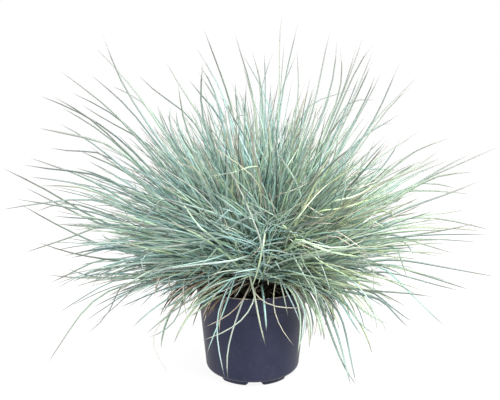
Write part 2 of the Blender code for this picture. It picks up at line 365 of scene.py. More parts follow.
def potMaterial():
    look = potLook
    made, tree, shader = newMaterial("slate nursery pot plastic", 0.4)
    place = objectPlace(tree)
    split = addNode(tree, "ShaderNodeSeparateXYZ")
    tree.links.new(place, split.inputs[0])
    height = split.outputs[2]
    broad = noise(tree, place, 22.0, 3.0)
    fine = noise(tree, place, 1400.0, 2.0)
    dust = noise(tree, place, 75.0, 6.0, 0.7)
    color = ramp(tree, broad, [(0.30, look["dark"]), (0.72, look["light"])])
    low = calculate(tree, "SUBTRACT", 1.0, fade(tree, height, *look["lowEnds"]))
    dusted = fade(tree, dust, *look["dustEnds"])
    amount = calculate(tree, "MULTIPLY_ADD", low, look["dustLow"], look["dustAll"])
    color = mixColor(tree, calculate(tree, "MULTIPLY", dusted, amount), color, look["dust"])
    # painted sheen: the colour turns towards the dust colour where the surface turns away from the view
    facing = addNode(tree, "ShaderNodeLayerWeight").outputs["Facing"]
    side = calculate(tree, "MULTIPLY", calculate(tree, "POWER", facing, look["edgeSheenPower"]), look["edgeSheen"])
    color = mixColor(tree, side, color, look["dust"])
    # painted shadow: a dark band just under the collar's step
    step = potHigh.z - look["collarShadowBelow"]
    above = fade(tree, height, *[step + part for part in look["collarShadowFrom"]])
    below = fade(tree, height, *[step + part for part in look["collarShadowTo"]])
    collarShadow = calculate(tree, "MULTIPLY", calculate(tree, "SUBTRACT", above, below), look["collarShadowShare"])
    color = mixColor(tree, collarShadow, color, look["collarShadow"])
    # a pale tan line on the lip's top: partly scuffing, partly a painted highlight
    lip = fade(tree, height, *[potHigh.z - part for part in look["lipEnds"]])
    lipScuffAndHighlight = calculate(tree, "MULTIPLY", lip, fade(tree, noise(tree, place, 140.0, 3.0), *look["scuffAndHighlightEnds"]))
    color = mixColor(tree, lipScuffAndHighlight, color, look["scuffAndHighlight"])
    tree.links.new(color, shader.inputs["Base Color"])
    tree.links.new(calculate(tree, "MULTIPLY_ADD", dust, *look["roughness"]), shader.inputs["Roughness"])
    shader.inputs["Specular IOR Level"].default_value = look["specular"]
    addBump(tree, shader, fine, *look["bump"])
    return made


leafFinish = leafMaterial()
strawFinish = strawMaterial("dead fescue leaf", 1.0)
# the crown's thatch is a darker copy of the straw, as painted shade under the leaves
shadedThatchFinish = strawMaterial("crown thatch", 0.75)
shadedMoundFinish = earthMaterial("crown mound", shadedMoundLook)
potFinish = potMaterial()
soilFinish = earthMaterial("potting soil", soilLook)
print("finishes made")

potShape = {
    "steps": 132,           # round the pot, and then up its corner, wall and lip and down its inside
    "cornerSteps": 14,
    "wallSteps": 6,
    "lipSteps": 5,
    "insideSteps": 7,
    "smoothUnder": math.radians(32),
    "wall": 0.0016,
    "lipRound": 0.0007,
    "collarHeight": 0.0175,
    "collarStep": 0.0014,
    "collarTurn": 0.0012,       # the wall ends this far under the collar
    "cornerRadius": 0.0542,
    "cornerTop": 0.012,
    "cornerRadiusLow": 0.0472,
    "footRadius": 0.0458,
    "footHeight": 0.0052,
    "footWidth": 0.0026,
    "footFlare": 0.0006,
    "footEdge": 0.0003,         # bevels on the foot ring's inner and outer edge
    "footRound": 0.0004,
    "baseThickness": 0.002,
    "notches": 6,
    "notchTurn": math.radians(3),
    "notchWidths": (            # height and width, from the top down
        (0.0052, 0.0112), (0.0048, 0.0127), (0.0020, 0.0165), (0.0008, 0.0190), (-0.001, 0.0245)),
    "drainRadius": 0.004,
    "drainSteps": 28,
    "drainCircle": 0.034,
}


def wallRadius(height):
    share = (height - potShape["cornerTop"]) / (potHigh.z - potShape["cornerTop"])
    return potShape["cornerRadius"] + (potHigh.x - potShape["cornerRadius"]) * share


def ellipse(centre, half, start, end, count):
    angles = [math.radians(start + (end - start) * index / count) for index in range(count + 1)]
    across, up = half
    return [(centre[0] + across * math.cos(angle), centre[1] + up * math.sin(angle)) for angle in angles]


def potRings():
    # radius and height of each ring: from under the base round the foot, up, over the lip and down inside
    s = potShape
    lip, rim, top, wall = s["lipRound"], potHigh.x, potHigh.z, s["wall"]
    floor = s["footHeight"] + s["baseThickness"]
    collar = top - s["collarHeight"]
    footIn, foot, footTop = s["footRadius"] - s["footWidth"], s["footRadius"], s["footHeight"]
    edge, curve = s["footEdge"], s["footRound"]
    rings = [(footIn - edge, footTop), (footIn, footTop - edge), (footIn, edge), (footIn + edge, 0)]
    rings += [(foot - curve, 0), (foot, curve), (foot + s["footFlare"] * 0.9, footTop - 2 * curve)]
    rings += [(foot + s["footFlare"], footTop - edge)]
    corner = (s["cornerRadius"] - s["cornerRadiusLow"], s["cornerTop"] - footTop)
    rings += ellipse((s["cornerRadiusLow"], s["cornerTop"]), corner, -90, 0, s["cornerSteps"])
    for index in range(1, s["wallSteps"] + 1):
        height = s["cornerTop"] + (collar - s["collarTurn"] - s["cornerTop"]) * index / s["wallSteps"]
        rings.append((wallRadius(height) - s["collarStep"] * index / s["wallSteps"], height))
    rings += [(wallRadius(collar) - s["collarStep"] * 0.75, collar - 0.0005)]
    rings += [(wallRadius(collar) - 0.0001, collar)]
    rings += [(wallRadius(collar + 0.0006), collar + 0.0006), (wallRadius(top - 0.0045), top - 0.0045)]
    rings += [(rim - 0.0001, top - 0.003)]      # a slight roll below the lip
    rings += ellipse((rim - lip, top - lip), (lip, lip), 0, 90, s["lipSteps"])
    rings += ellipse((rim - wall + lip, top - lip), (lip, lip), 90, 180, s["lipSteps"])
    rings += [(wallRadius(collar) - wall, collar)]
    rings += [(wallRadius(collar) - s["collarStep"] - wall, collar - 0.001)]
    inner = (corner[0], s["cornerTop"] - floor)
    rings += ellipse((s["cornerRadiusLow"] - wall, s["cornerTop"]), inner, 0, -90, s["insideSteps"])
    return rings


def turnRings(name, rings, steps):
    # a disc at the first ring, drawn out ring by ring and closed at the last
    clearSelection()
    bpy.ops.mesh.primitive_circle_add(
        vertices=steps, radius=rings[0][0], fill_type="NGON", location=(0, 0, rings[0][1]))
    made = bpy.context.object
    made.name = name
    bpy.ops.object.mode_set(mode="EDIT")
    bpy.ops.mesh.select_mode(type="EDGE")
    bpy.ops.mesh.select_all(action="SELECT")
    for (radius, height), (nextRadius, nextHeight) in zip(rings, rings[1:]):
        bpy.ops.mesh.extrude_edges_move(TRANSFORM_OT_translate={"value": (0, 0, nextHeight - height)})
        share = nextRadius / radius
        bpy.ops.transform.resize(value=(share, share, 1), center_override=(0, 0, nextHeight))
    bpy.ops.mesh.edge_face_add()
    bpy.ops.object.mode_set(mode="OBJECT")
    applyPlace(made)
    return made


def subtract(target, cutter):
    makeActive(target)
    cut = target.modifiers.new("cut", "BOOLEAN")
    cut.operation = "DIFFERENCE"
    cut.solver = "EXACT"
    cut.object = cutter
    bpy.ops.object.modifier_apply(modifier=cut.name)
    bpy.data.objects.remove(cutter, do_unlink=True)


def notchCutter(angle):
    # a block across the foot ring, drawn down from its top and spread towards the floor
    s = potShape
    (top, width), *lower = s["notchWidths"]
    clearSelection()
    bpy.ops.mesh.primitive_plane_add(size=1, location=(s["footRadius"], 0, top))
    block = bpy.context.object
    bpy.ops.object.mode_set(mode="EDIT")
    bpy.ops.mesh.select_all(action="SELECT")
    bpy.ops.transform.resize(value=(4 * s["footWidth"], width, 1), center_override=(s["footRadius"], 0, top))
    height = top
    for nextHeight, nextWidth in lower:
        bpy.ops.mesh.extrude_region_move(TRANSFORM_OT_translate={"value": (0, 0, nextHeight - height)})
        pivot = (s["footRadius"], 0, nextHeight)
        bpy.ops.transform.resize(value=(1, nextWidth / width, 1), center_override=pivot)
        height, width = nextHeight, nextWidth
    bpy.ops.mesh.select_all(action="SELECT")
    bpy.ops.mesh.normals_make_consistent(inside=False)
    bpy.ops.object.mode_set(mode="OBJECT")
    applyPlace(block)
    block.rotation_euler.z = angle
    applyPlace(block)
    return block


def drainCutter(angle):
    s = potShape
    clearSelection()
    bpy.ops.mesh.primitive_cylinder_add(
        vertices=s["drainSteps"], radius=s["drainRadius"], depth=4 * s["baseThickness"],
        location=(s["drainCircle"] * math.cos(angle), s["drainCircle"] * math.sin(angle), s["footHeight"]))
    punch = bpy.context.object
    applyPlace(punch)
    return punch


def makePot():
    pot = turnRings("nursery_pot", potRings(), potShape["steps"])
    cleanUp(pot)
    for index in range(potShape["notches"]):
        angle = math.radians(-90) + potShape["notchTurn"] + index * math.tau / potShape["notches"]
        subtract(pot, notchCutter(angle))
        subtract(pot, drainCutter(angle))
    cleanUp(pot)
    makeActive(pot)
    bpy.ops.object.shade_smooth_by_angle(angle=potShape["smoothUnder"])
    finishPiece(pot, potFinish, "pot")


makePot()
print("pot made")

soilShape = {
    "seed": 11,
    "rings": 26,
    "steps": 110,
    "gap": 0.0006,          # between the soil and the pot
    "edgeDrop": 0.002,      # the soil's edge lies this much lower than its top
    "lumps": 0.006,
    "rough": 0.0032,        # how far the surface rises and falls
    "roughMiddle": 0.62,
    "smoothUnder": math.radians(50),
    "crumbs": 900,
    "crumbSize": (0.0005, 0.0018),
    "crumbsFrom": 0.024,    # distances from the pot's axis
    "crumbsTo": 0.0595,
    "crumbDents": 0.7,
    "crumbRough": 0.9,
}


def roughen(obj, name, size, strength, depth=2, **settings):
    # pushes the surface in and out by a cloudy pattern
    pattern = bpy.data.textures.new(name, "CLOUDS")
    pattern.noise_scale = size
    pattern.noise_depth = depth
    rough = obj.modifiers.new("rough", "DISPLACE")
    rough.texture = pattern
    rough.strength = strength
    for key, value in settings.items():
        setattr(rough, key, value)
    applyModifiers(obj)


def makeSoil():
    # the body follows the inside of the pot, and its top is raked into lumps
    s, p = soilShape, potShape
    gap = s["gap"]
    floor = p["footHeight"] + p["baseThickness"] + gap / 2
    collar = potHigh.z - p["collarHeight"]
    rings = ellipse((p["cornerRadiusLow"] - p["wall"] - gap, p["cornerTop"]),
                    (p["cornerRadius"] - p["cornerRadiusLow"], p["cornerTop"] - floor), -88, 0, 5)
    rings.append((wallRadius(collar) - p["collarStep"] - p["wall"] - gap, collar - 0.0007))
    edge = soilHigh.z - s["edgeDrop"]
    rings.append((wallRadius(edge) - p["wall"] - gap, edge - 0.0006))
    rim = wallRadius(edge) - p["wall"] - gap - 0.0004
    for index in range(s["rings"]):
        share = index / s["rings"]
        rings.append((rim * (1 - share), edge + s["edgeDrop"] * min(1.0, share * 5)))
    soil = turnRings("soil_bed", rings, s["steps"])
    cleanUp(soil)
    group = soil.vertex_groups.new(name="top")
    for vert in soil.data.vertices:
        inner = 1 - math.hypot(vert.co.x, vert.co.y) / rim
        if vert.co.z > edge - 0.0003:
            group.add([vert.index], min(1.0, inner * 12), "REPLACE")
    roughen(soil, "soil lumps", s["lumps"], s["rough"], depth=3, texture_coords="LOCAL", direction="Z",
            vertex_group="top", mid_level=s["roughMiddle"])
    bpy.ops.object.shade_smooth_by_angle(angle=s["smoothUnder"])
    finishPiece(soil, soilFinish, "soil")
    return soil


def surfacePoints(count, low, high):
    # places on the soil's top, between two distances from the pot's axis
    tree = BVHTree.FromObject(soilBed, bpy.context.evaluated_depsgraph_get())
    found = []
    while len(found) < count:
        radius = math.sqrt(soilRandom.uniform(low ** 2, high ** 2))
        angle = soilRandom.uniform(0, math.tau)
        place, normal, index, distance = tree.ray_cast(
            Vector((radius * math.cos(angle), radius * math.sin(angle), potHigh.z)), Vector((0, 0, -1)))
        if place and place.z > soilHigh.z - 0.006:
            found.append(tuple(place))
    return np.array(found)


def meshFromArrays(name, points, faces):
    mesh = bpy.data.meshes.new(name)
    mesh.vertices.add(len(points))
    mesh.vertices.foreach_set("co", points.reshape(-1))
    mesh.loops.add(faces.size)
    mesh.loops.foreach_set("vertex_index", faces.reshape(-1))
    mesh.polygons.add(len(faces))
    mesh.polygons.foreach_set("loop_start", np.arange(len(faces)) * faces.shape[1])
    mesh.update(calc_edges=True)
    mesh.polygons.foreach_set("use_smooth", np.ones(len(faces), bool))
    obj = bpy.data.objects.new(name, mesh)
    bpy.context.scene.collection.objects.link(obj)
    return obj


def repeatFaces(faces, corners, count):
    # the faces of that many copies of a form, which has that many corners
    return (faces[None] + (np.arange(count) * corners)[:, None, None]).reshape(-1, 3)


def joinCopies(name, points, faces, places, sizes, spins):
    # copies of one small form, each with its own place, size and turn, as a single mesh
    cosine, sine = np.cos(spins)[:, None], np.sin(spins)[:, None]
    scaled = points[None] * sizes[:, None, :]
    turned = np.stack([scaled[..., 0] * cosine - scaled[..., 1] * sine,
                       scaled[..., 0] * sine + scaled[..., 1] * cosine, scaled[..., 2]], -1)
    joined = (turned + places[:, None, :]).reshape(-1, 3)
    return meshFromArrays(name, joined, repeatFaces(faces, len(points), len(places)))


def arraysOf(obj):
    points = np.array([vert.co for vert in obj.data.vertices])
    faces = np.array([list(face.vertices) for face in obj.data.polygons])
    bpy.data.objects.remove(obj, do_unlink=True)
    return points, faces


def makeCrumbs():
    # lumps of peat and bark on the soil, from one roughened ball
    s = soilShape
    clearSelection()
    bpy.ops.mesh.primitive_ico_sphere_add(subdivisions=2, radius=1, location=(0, 0, 0))
    ball = bpy.context.object
    roughen(ball, "crumb dents", s["crumbDents"], s["crumbRough"])
    points, faces = arraysOf(ball)
    places = surfacePoints(s["crumbs"], s["crumbsFrom"], s["crumbsTo"])
    sizes = soilRandom.uniform(*s["crumbSize"], (s["crumbs"], 1))
    sizes = sizes * soilRandom.uniform(0.5, 1.2, (s["crumbs"], 3))
    places[:, 2] += sizes[:, 2] * 0.2
    spins = soilRandom.uniform(0, math.tau, s["crumbs"])
    crumbs = joinCopies("soil_crumbs", points, faces, places, sizes, spins)
    finishPiece(crumbs, soilFinish, "soil")


soilRandom = np.random.default_rng(soilShape["seed"])
soilBed = makeSoil()
makeCrumbs()
print("soil made")

# one folded blade is modelled, then laid along every leaf's path

blade = {
    "rings": 12,
    "fold": 0.74,           # depth of the folded blade against its width
    "thickness": 0.50,      # depth of the blade itself
    "profile": (            # width along the blade
        (0.0, 0.66), (0.10, 0.82), (0.30, 1.0), (0.60, 0.94), (0.80, 0.78), (0.93, 0.58), (1.0, 0.24)),
}

clump = {
    "seed": 7,
    "tufts": 40,
    "shoots": 8,            # shoots in a tuft
    "leaves": 20,           # leaves on a shoot
    "topLeaves": 9,         # more than that on an upright one
    "innerShare": 0.74,
    "lowestLean": math.radians(103),
    "frontLift": 0.25,      # the front ones lean less, so that the pot shows
    "lowest": (             # azimuth and steepest lean there, in degrees
        (-180, 98), (-165, 86), (-150, 70), (-120, 58), (-100, 57), (-80, 66), (-60, 86), (-42, 98),
        (-20, 102), (10, 101), (60, 108), (120, 108), (150, 103), (180, 98)),
    "rimGap": 0.002,        # a leaf's middle line keeps this far above the lip
    "rimBump": 1.6,         # and bends over it along about this many rings to each side
    "frontThin": 0.70,      # up to this share of the leaves that lean to the front is left out
    "strays": 0.12,         # this share may lean further
    "strayLean": 14,
    "reachLeft": 0.294,
    "reachRight": 0.232,
    "reachFront": 0.255,
    "reachBack": 0.262,
    "reachUp": 0.280,
    "reachAll": 1.03,
    "nearest": 0.045,       # no leaf is shorter
    "broadside": 0.8,       # leaves this much across the view stop short of the placed ones
    "stopRight": 0.80,      # at these shares of the reach: at the upper right, the upper left and elsewhere
    "stopLeft": 0.74,
    "stopElsewhere": 0.83,
    "lowFrom": math.radians(60),
    "lowOver": math.radians(37),
    "lowShorter": 0.65,     # leaves near level are this much shorter
    "rootSpread": 0.0022,
    "shootSpread": 0.14,
    "shootLength": 0.12,
    "shootSteps": 20,
    "leafSpread": 0.44,
    "firstSpread": 0.35,    # a shoot's first leaf keeps to its way by this
    "crossing": 0.38,       # this share of the leaves crosses the others
    "crossSpread": 2.3,     # they stray and wave this much more, and are narrower and shorter by these
    "crossWave": 2.4,
    "crossWidth": 0.86,
    "crossReach": 0.68,
    "branchTo": 0.040,      # a shoot's last leaf parts from it this far out
    "launch": 0.718,        # a leaf starts at this share of its lean
    "bend": 0.617,          # and gains this share on its way to the tip
    "bendVary": 0.12,
    "droop": math.radians(11.3),
    "wander": 0.80,
    "wave": 0.34,
    "long": 0.066,          # shares of long, fairly long and middling leaves
    "fairlyLong": 0.14,
    "middling": 0.26,
    "width": (0.0013, 0.0022),
    "widthFrom": 0.75,      # a leaf's width grows with its length from this share
    "turn": 1.6,
}
clearance = {           # how far a leaf's middle line keeps from each
    "lip": 0.0015,
    "wall": 0.003,
    "inside": 0.006,
    "soil": 0.0005,
    "floor": 0.003,
}
goldenAngle = math.pi * (3 - math.sqrt(5))
random = np.random.default_rng(clump["seed"])
crownCentre = np.array([(crownLow.x + crownHigh.x) / 2, (crownLow.y + crownHigh.y) / 2])
crownRadius = (crownHigh.x - crownLow.x) / 2 - 0.001
crownRise = 0.010
crownEdge = crownLow.z + 0.004


def bladeWidth(share):
    places, widths = zip(*blade["profile"])
    return float(np.interp(share, places, widths))


def selectVerts(obj, wanted):
    bpy.ops.mesh.select_all(action="DESELECT")
    bpy.ops.object.mode_set(mode="OBJECT")
    for vert in obj.data.vertices:
        vert.select = wanted(vert.co)
    bpy.ops.object.mode_set(mode="EDIT")


def drawBlade():
    # a folded blade standing on its base, one unit tall and one wide
    clearSelection()
    bpy.ops.mesh.primitive_circle_add(vertices=4, radius=0.5, fill_type="NGON", location=(0, 0, 0))
    drawn = bpy.context.object
    bpy.ops.object.mode_set(mode="EDIT")
    bpy.ops.transform.resize(value=(1, 2 * blade["fold"], 1))
    selectVerts(drawn, lambda place: place.y > 0.01)    # the inner crease sits just above the keel
    bpy.ops.transform.translate(value=(0, blade["thickness"] - 2 * blade["fold"], 0))
    bpy.ops.mesh.select_mode(type="FACE")
    bpy.ops.mesh.select_all(action="SELECT")
    width = bladeWidth(0)
    bpy.ops.transform.resize(value=(width, width, 1), center_override=(0, 0, 0))
    for index in range(1, blade["rings"] + 1):
        height = index / blade["rings"]
        wider = bladeWidth(height)
        bpy.ops.mesh.extrude_region_move(TRANSFORM_OT_translate={"value": (0, 0, 1 / blade["rings"])})
        bpy.ops.transform.resize(value=(wider / width, wider / width, 1), center_override=(0, 0, height))
        width = wider
    bpy.ops.mesh.merge(type="CENTER")
    bpy.ops.mesh.select_all(action="SELECT")
    bpy.ops.mesh.quads_convert_to_tris()
    bpy.ops.mesh.normals_make_consistent(inside=False)
    bpy.ops.object.mode_set(mode="OBJECT")
    points = np.empty(len(drawn.data.vertices) * 3)
    drawn.data.vertices.foreach_get("co", points)
    faces = np.array([list(face.vertices) for face in drawn.data.polygons])
    bpy.data.objects.remove(drawn, do_unlink=True)
    return points.reshape(-1, 3), faces


bladePoints, bladeFaces = drawBlade()
bladeRing = np.rint(bladePoints[:, 2] * blade["rings"]).astype(int)
ringWidth = np.array([bladeWidth(place) for place in bladePoints[:, 2]])
bladeAcross = np.clip(0.5 + bladePoints[:, 0] / ringWidth, 0, 1)
bladeInside = bladePoints[:, 1] > -0.7 * blade["fold"] * ringWidth
# the four corners of a ring, spread out over the blade's own column of the map
bladeMiddle = np.where(bladeInside, 1.0, 0.33)
bladeColumn = np.where(bladeAcross > 0.9, 0.66, np.where(bladeAcross < 0.1, 0.0, bladeMiddle))
rowKeys = ("paths", "widths", "turns", "tones", "dryness")
collected = {}


def collect(node, *values):
    # adds leaves to a node's: their paths, widths, turns, tones and dryness
    rows = collected.setdefault(node, {key: [] for key in rowKeys})
    for key, value in zip(rowKeys, values):
        rows[key].append(np.asarray(value, float))


def unit(vectors):
    return vectors / np.maximum(np.linalg.norm(vectors, axis=-1, keepdims=True), 1e-9)


def layBlades(paths, widths, turns):
    # corner places of every blade: a frame is carried along each path, turning slowly
    along = unit(np.gradient(paths, axis=1))
    side = unit(np.cross(along[:, 0], np.array([0.0, 0.0, 1.0]) + 0.01))
    sides = np.empty_like(paths)
    for ring in range(paths.shape[1]):
        side = unit(side - along[:, ring] * np.sum(side * along[:, ring], axis=1, keepdims=True))
        sides[:, ring] = side
    faces = np.cross(along, sides)
    turn = (turns[:, None] * (0.6 + 0.4 * np.linspace(0, 1, paths.shape[1])[None, :]))[:, :, None]
    across = sides * np.cos(turn) + faces * np.sin(turn)
    deep = faces * np.cos(turn) - sides * np.sin(turn)
    wide = widths[:, None, None]
    return (paths[:, bladeRing] + across[:, bladeRing] * bladePoints[None, :, 0, None] * wide
            + deep[:, bladeRing] * bladePoints[None, :, 1, None] * wide)


def setAttribute(mesh, name, values):
    made = mesh.attributes.new(name, "FLOAT", "POINT")
    made.data.foreach_set("value", np.ascontiguousarray(values, dtype=np.float32))


def joinLeaves(name, node, material):
    rows = {key: np.concatenate(values) for key, values in collected.pop(node).items()}
    paths = rows["paths"]
    count, corners = len(paths), len(bladePoints)
    points = layBlades(paths, rows["widths"], rows["turns"]).reshape(-1, 3)
    faces = repeatFaces(bladeFaces, corners, count)
    obj = meshFromArrays(name, points, faces)
    mesh = obj.data
    heart = np.array([*crownCentre, crownEdge])
    far = np.linalg.norm(paths - heart, axis=2)[:, bladeRing] / 0.29
    setAttribute(mesh, "along", np.tile(bladePoints[:, 2], count))
    setAttribute(mesh, "across", np.tile(bladeAcross, count))
    setAttribute(mesh, "far", far.reshape(-1))
    # towards the right the blades are more yellowish
    own = np.clip(random.random(count) + np.clip(paths[:, -1, 0] * 1.5, -0.1, 0.3), 0, 1)
    setAttribute(mesh, "own", np.repeat(own, corners))
    setAttribute(mesh, "tone", np.repeat(rows["tones"], corners))
    setAttribute(mesh, "dry", np.repeat(rows["dryness"], corners))
    bakeMap = mesh.uv_layers.new(name="OFBake")
    column = (np.repeat(np.arange(count), corners) + 0.1 + 0.8 * np.tile(bladeColumn, count)) / count
    height = 0.01 + 0.98 * np.tile(bladePoints[:, 2], count)
    bakeMap.data.foreach_set("uv", np.stack([column, height], -1)[faces.reshape(-1)].reshape(-1))
    finishPiece(obj, material, node)


def toward(lean, azimuth):
    side = np.sin(lean)
    return np.stack([side * np.cos(azimuth), side * np.sin(azimuth), np.cos(lean)], -1)


def reach(way):
    side = np.where(way[..., 0] < 0, clump["reachLeft"], clump["reachRight"])
    depth = np.where(way[..., 1] < 0, clump["reachFront"], clump["reachBack"])
    return side * way[..., 0] ** 2 + depth * way[..., 1] ** 2 + clump["reachUp"] * way[..., 2] ** 2


def crownTop(share):
    return crownEdge + crownRise * (math.sqrt(max(0.0, 1 - 0.9 * share ** 2)) - math.sqrt(0.1))


def growPaths(starts, gone, parents, habit, lengths, rings):
    # leaves leave their shoot along it, then follow their own lean, which grows with the distance
    leans, azimuths, bends, droops, wanders, waves = habit
    paths = np.empty((len(starts), rings + 1, 3))
    paths[:, 0] = starts
    for ring in range(rings):
        length = lengths * (ring + 0.5) / rings
        far = (gone + length) / 0.28
        angle = leans * (clump["launch"] + bends * far ** 0.6) + droops * far ** 1.5
        heading = azimuths + wanders * far + waves * np.sin(far * 7 + azimuths * 3)
        blend = np.clip(length / 0.022, 0, 1)[:, None]
        way = unit(toward(angle, heading) * blend + parents * (1 - blend))
        paths[:, ring + 1] = paths[:, ring] + way * (lengths / rings)[:, None]
    return paths


def wallAt(height):
    places = (0, potShape["cornerTop"], potHigh.z)
    return np.interp(height, places, (potShape["footRadius"], potShape["cornerRadius"], potHigh.x))


def hitsPot(paths):
    # True for a path with a ring in or near the pot's wall, the soil or the floor, its root left aside
    radius = np.hypot(paths[..., 0], paths[..., 1])
    height = paths[..., 2]
    near = radius < wallAt(height) + clearance["wall"]
    inWall = (height < potHigh.z + clearance["lip"]) & near & (radius > potHigh.x - clearance["inside"])
    inSoil = (height < soilHigh.z + clearance["soil"]) & near
    return (inWall | inSoil | (height < clearance["floor"]))[:, 1:].any(axis=1)


def liftOverRim(path):
    # a leaf that would cut the lip between two of its rings rises over it, and its root stays where it is
    radius = np.hypot(path[:, 0], path[:, 1])
    for ring in np.flatnonzero((radius[:-1] < potHigh.x) & (radius[1:] >= potHigh.x)):
        share = (potHigh.x - radius[ring]) / (radius[ring + 1] - radius[ring])
        height = path[ring, 2] + (path[ring + 1, 2] - path[ring, 2]) * share
        if height < potHigh.z + clump["rimGap"]:
            away = np.arange(len(path)) - ring - share
            bump = np.exp(-(away / clump["rimBump"]) ** 2)
            bump[0] = 0
            rise = potHigh.z + 2 * clump["rimGap"] - height
            path[:, 2] += rise / bump[ring:ring + 2].min() * bump
    return path


def tuftPlace(index):
    # lean, azimuth and root of a packed tuft, as in the solids
    c = clump
    share = math.sqrt((index + 0.5) / c["tufts"])
    azimuth = math.fmod(index * goldenAngle, math.tau)
    frontness = max(0.0, -math.sin(azimuth)) ** 1.3
    lean = 2 * math.asin(share * math.sin(c["lowestLean"] / 2)) * (1 - c["frontLift"] * frontness)
    radius = crownRadius * share * c["innerShare"]
    root = np.array([crownCentre[0] + radius * math.cos(azimuth), crownCentre[1] + radius * math.sin(azimuth),
                     crownTop(share * c["innerShare"])])
    return lean, azimuth, root


def scatterWays(main, outward, sideways, spread):
    offset = random.normal(0, 1, (len(main), 2)) * np.reshape(spread, (-1, 1))
    way = unit(main + offset[:, :1] * outward + offset[:, 1:] * sideways)
    return np.arccos(np.clip(way[:, 2], -1, 1)), np.arctan2(way[:, 1], way[:, 0])


def leafShares(count):
    # the length of each leaf as a share of the clump's reach
    pick, vary = random.random(count), random.random(count)
    long = clump["long"]
    fairly = long + clump["fairlyLong"]
    middling = fairly + clump["middling"]
    return np.where(pick < long, 0.84 + 0.16 * vary, np.where(
        pick < fairly, 0.68 + 0.16 * vary, np.where(pick < middling, 0.50 + 0.18 * vary, 0.28 + 0.22 * vary)))


def growShoots(lean, azimuth, root):
    # lean, azimuth and path of each shoot of a tuft
    c = clump
    shoots = c["shoots"]
    main = np.tile(toward(lean, azimuth), (shoots, 1))
    outward = np.tile(toward(lean + math.pi / 2, azimuth), (shoots, 1))
    sideways = np.cross(main, outward)
    leans, azimuths = scatterWays(main, outward, sideways, c["shootSpread"])
    roots = root + random.normal(0, c["rootSpread"], (shoots, 1)) * outward
    roots = roots + random.normal(0, c["rootSpread"], (shoots, 1)) * sideways
    still = np.zeros(shoots)
    launchWay = np.tile(toward(lean * c["launch"], azimuth), (shoots, 1))
    bends = random.normal(c["bend"], c["bendVary"], shoots)
    habit = (leans, azimuths, bends, still, still, still)
    paths = growPaths(roots, still, launchWay, habit, still + c["shootLength"], c["shootSteps"])
    return leans, azimuths, paths


def leafLengths(leans, azimuths, crossing, gone):
    c = clump
    shares = leafShares(len(leans))
    # the outermost leaves seen from the front are the placed ones below
    ways = toward(leans, azimuths)
    upperRight = (ways[:, 0] > 0.2) & (ways[:, 2] > 0.4)
    upperLeft = (abs(ways[:, 0] + 0.33) < 0.28) & (ways[:, 2] > 0.6)
    stop = np.where(upperRight, c["stopRight"], np.where(upperLeft, c["stopLeft"], c["stopElsewhere"]))
    broadside = np.hypot(ways[:, 0], ways[:, 2]) > c["broadside"]
    shares = np.minimum(shares, np.where(broadside, stop, 1.0))
    shares = np.where(crossing, np.minimum(shares, c["crossReach"]), shares)
    lowness = np.clip((leans - c["lowFrom"]) / c["lowOver"], 0, 1.1)
    shorter = 1 - c["lowShorter"] * lowness * (0.35 + 0.65 * random.random(len(leans)))
    return np.maximum(reach(ways) * shares * shorter * c["reachAll"] - gone, c["nearest"])


def tuftLeaves(index):
    c = clump
    lean, azimuth, root = tuftPlace(index)
    perShoot = c["leaves"] + round(c["topLeaves"] * float(np.clip(1.6 - 1.6 * lean, 0, 1)))
    shootLean, shootAzimuth, shootPaths = growShoots(lean, azimuth, root)
    # where each leaf leaves its shoot
    count = c["shoots"] * perShoot
    owner = np.repeat(np.arange(c["shoots"]), perShoot)
    gone = np.tile(np.linspace(0, 1, perShoot), c["shoots"]) * c["branchTo"] * random.uniform(0.6, 1.0, count)
    place = gone * c["shootSteps"] / c["shootLength"]
    step = place.astype(int)
    part = (place - step)[:, None]
    starts = shootPaths[owner, step] * (1 - part) + shootPaths[owner, step + 1] * part
    parents = unit(shootPaths[owner, step + 1] - shootPaths[owner, step])
    shootWay = toward(shootLean, shootAzimuth)[owner]
    shootOut = toward(shootLean + math.pi / 2, shootAzimuth)[owner]
    first = np.arange(count) % perShoot == 0
    crossing = random.random(count) < c["crossing"]
    spread = np.where(first, c["firstSpread"], np.where(crossing, c["crossSpread"], 1.0)) * c["leafSpread"]
    leans, azimuths = scatterWays(shootWay, shootOut, np.cross(shootWay, shootOut), spread)
    limits = np.interp((np.degrees(azimuths) + 180) % 360 - 180, *zip(*c["lowest"]))
    limits += np.where(random.random(count) < c["strays"], c["strayLean"], 0)
    leans = np.minimum(leans, np.radians(limits) * random.uniform(0.93, 1.0, count))
    lengths = leafLengths(leans, azimuths, crossing, gone)
    bends = random.normal(c["bend"], c["bendVary"], count)
    droops = random.gamma(1.6, c["droop"] / 1.6, count) * np.sin(leans)
    wanders = random.normal(0, c["wander"], count)
    waves = random.normal(0, c["wave"], count) * np.where(crossing, c["crossWave"], 1.0)
    for attempt in range(8):
        habit = (leans, azimuths, bends, droops, wanders, waves)
        paths = growPaths(starts, gone, parents, habit, lengths, blade["rings"])
        blocked = hitsPot(paths)
        leans = np.where(blocked, leans * 0.9, leans)
        droops = np.where(blocked, droops * 0.7, droops)
    # fewer leaves lean to the front, which shows the dark inside
    frontness = np.clip(-np.sin(azimuths), 0, 1) ** 5 * np.clip(np.degrees(leans) / 30 - 0.7, 0, 1)
    keep = ~blocked & (random.random(count) > c["frontThin"] * frontness)
    widths = random.uniform(*c["width"], count) * np.where(crossing, c["crossWidth"], 1.0)
    widths = widths * (c["widthFrom"] + lengths)
    return paths[keep], widths[keep]


leafMix = {             # tones and dryness, and how they are shared out
    "usual": (0.50, 0.13),
    "dark": (0.0, 0.20),
    "darkShare": 0.16,
    "green": (0.72, 0.93),
    "greenShare": 0.09,
    "greenRight": 0.18,     # more of them at the right and at the top
    "greenTop": 0.16,
    "dried": (0.5, 1.0),
    "driedShare": 0.05,
    "driedLow": 0.34,       # the share low at the left
    "fresh": (0, 0.14),
    "tuftVary": 0.05,
}


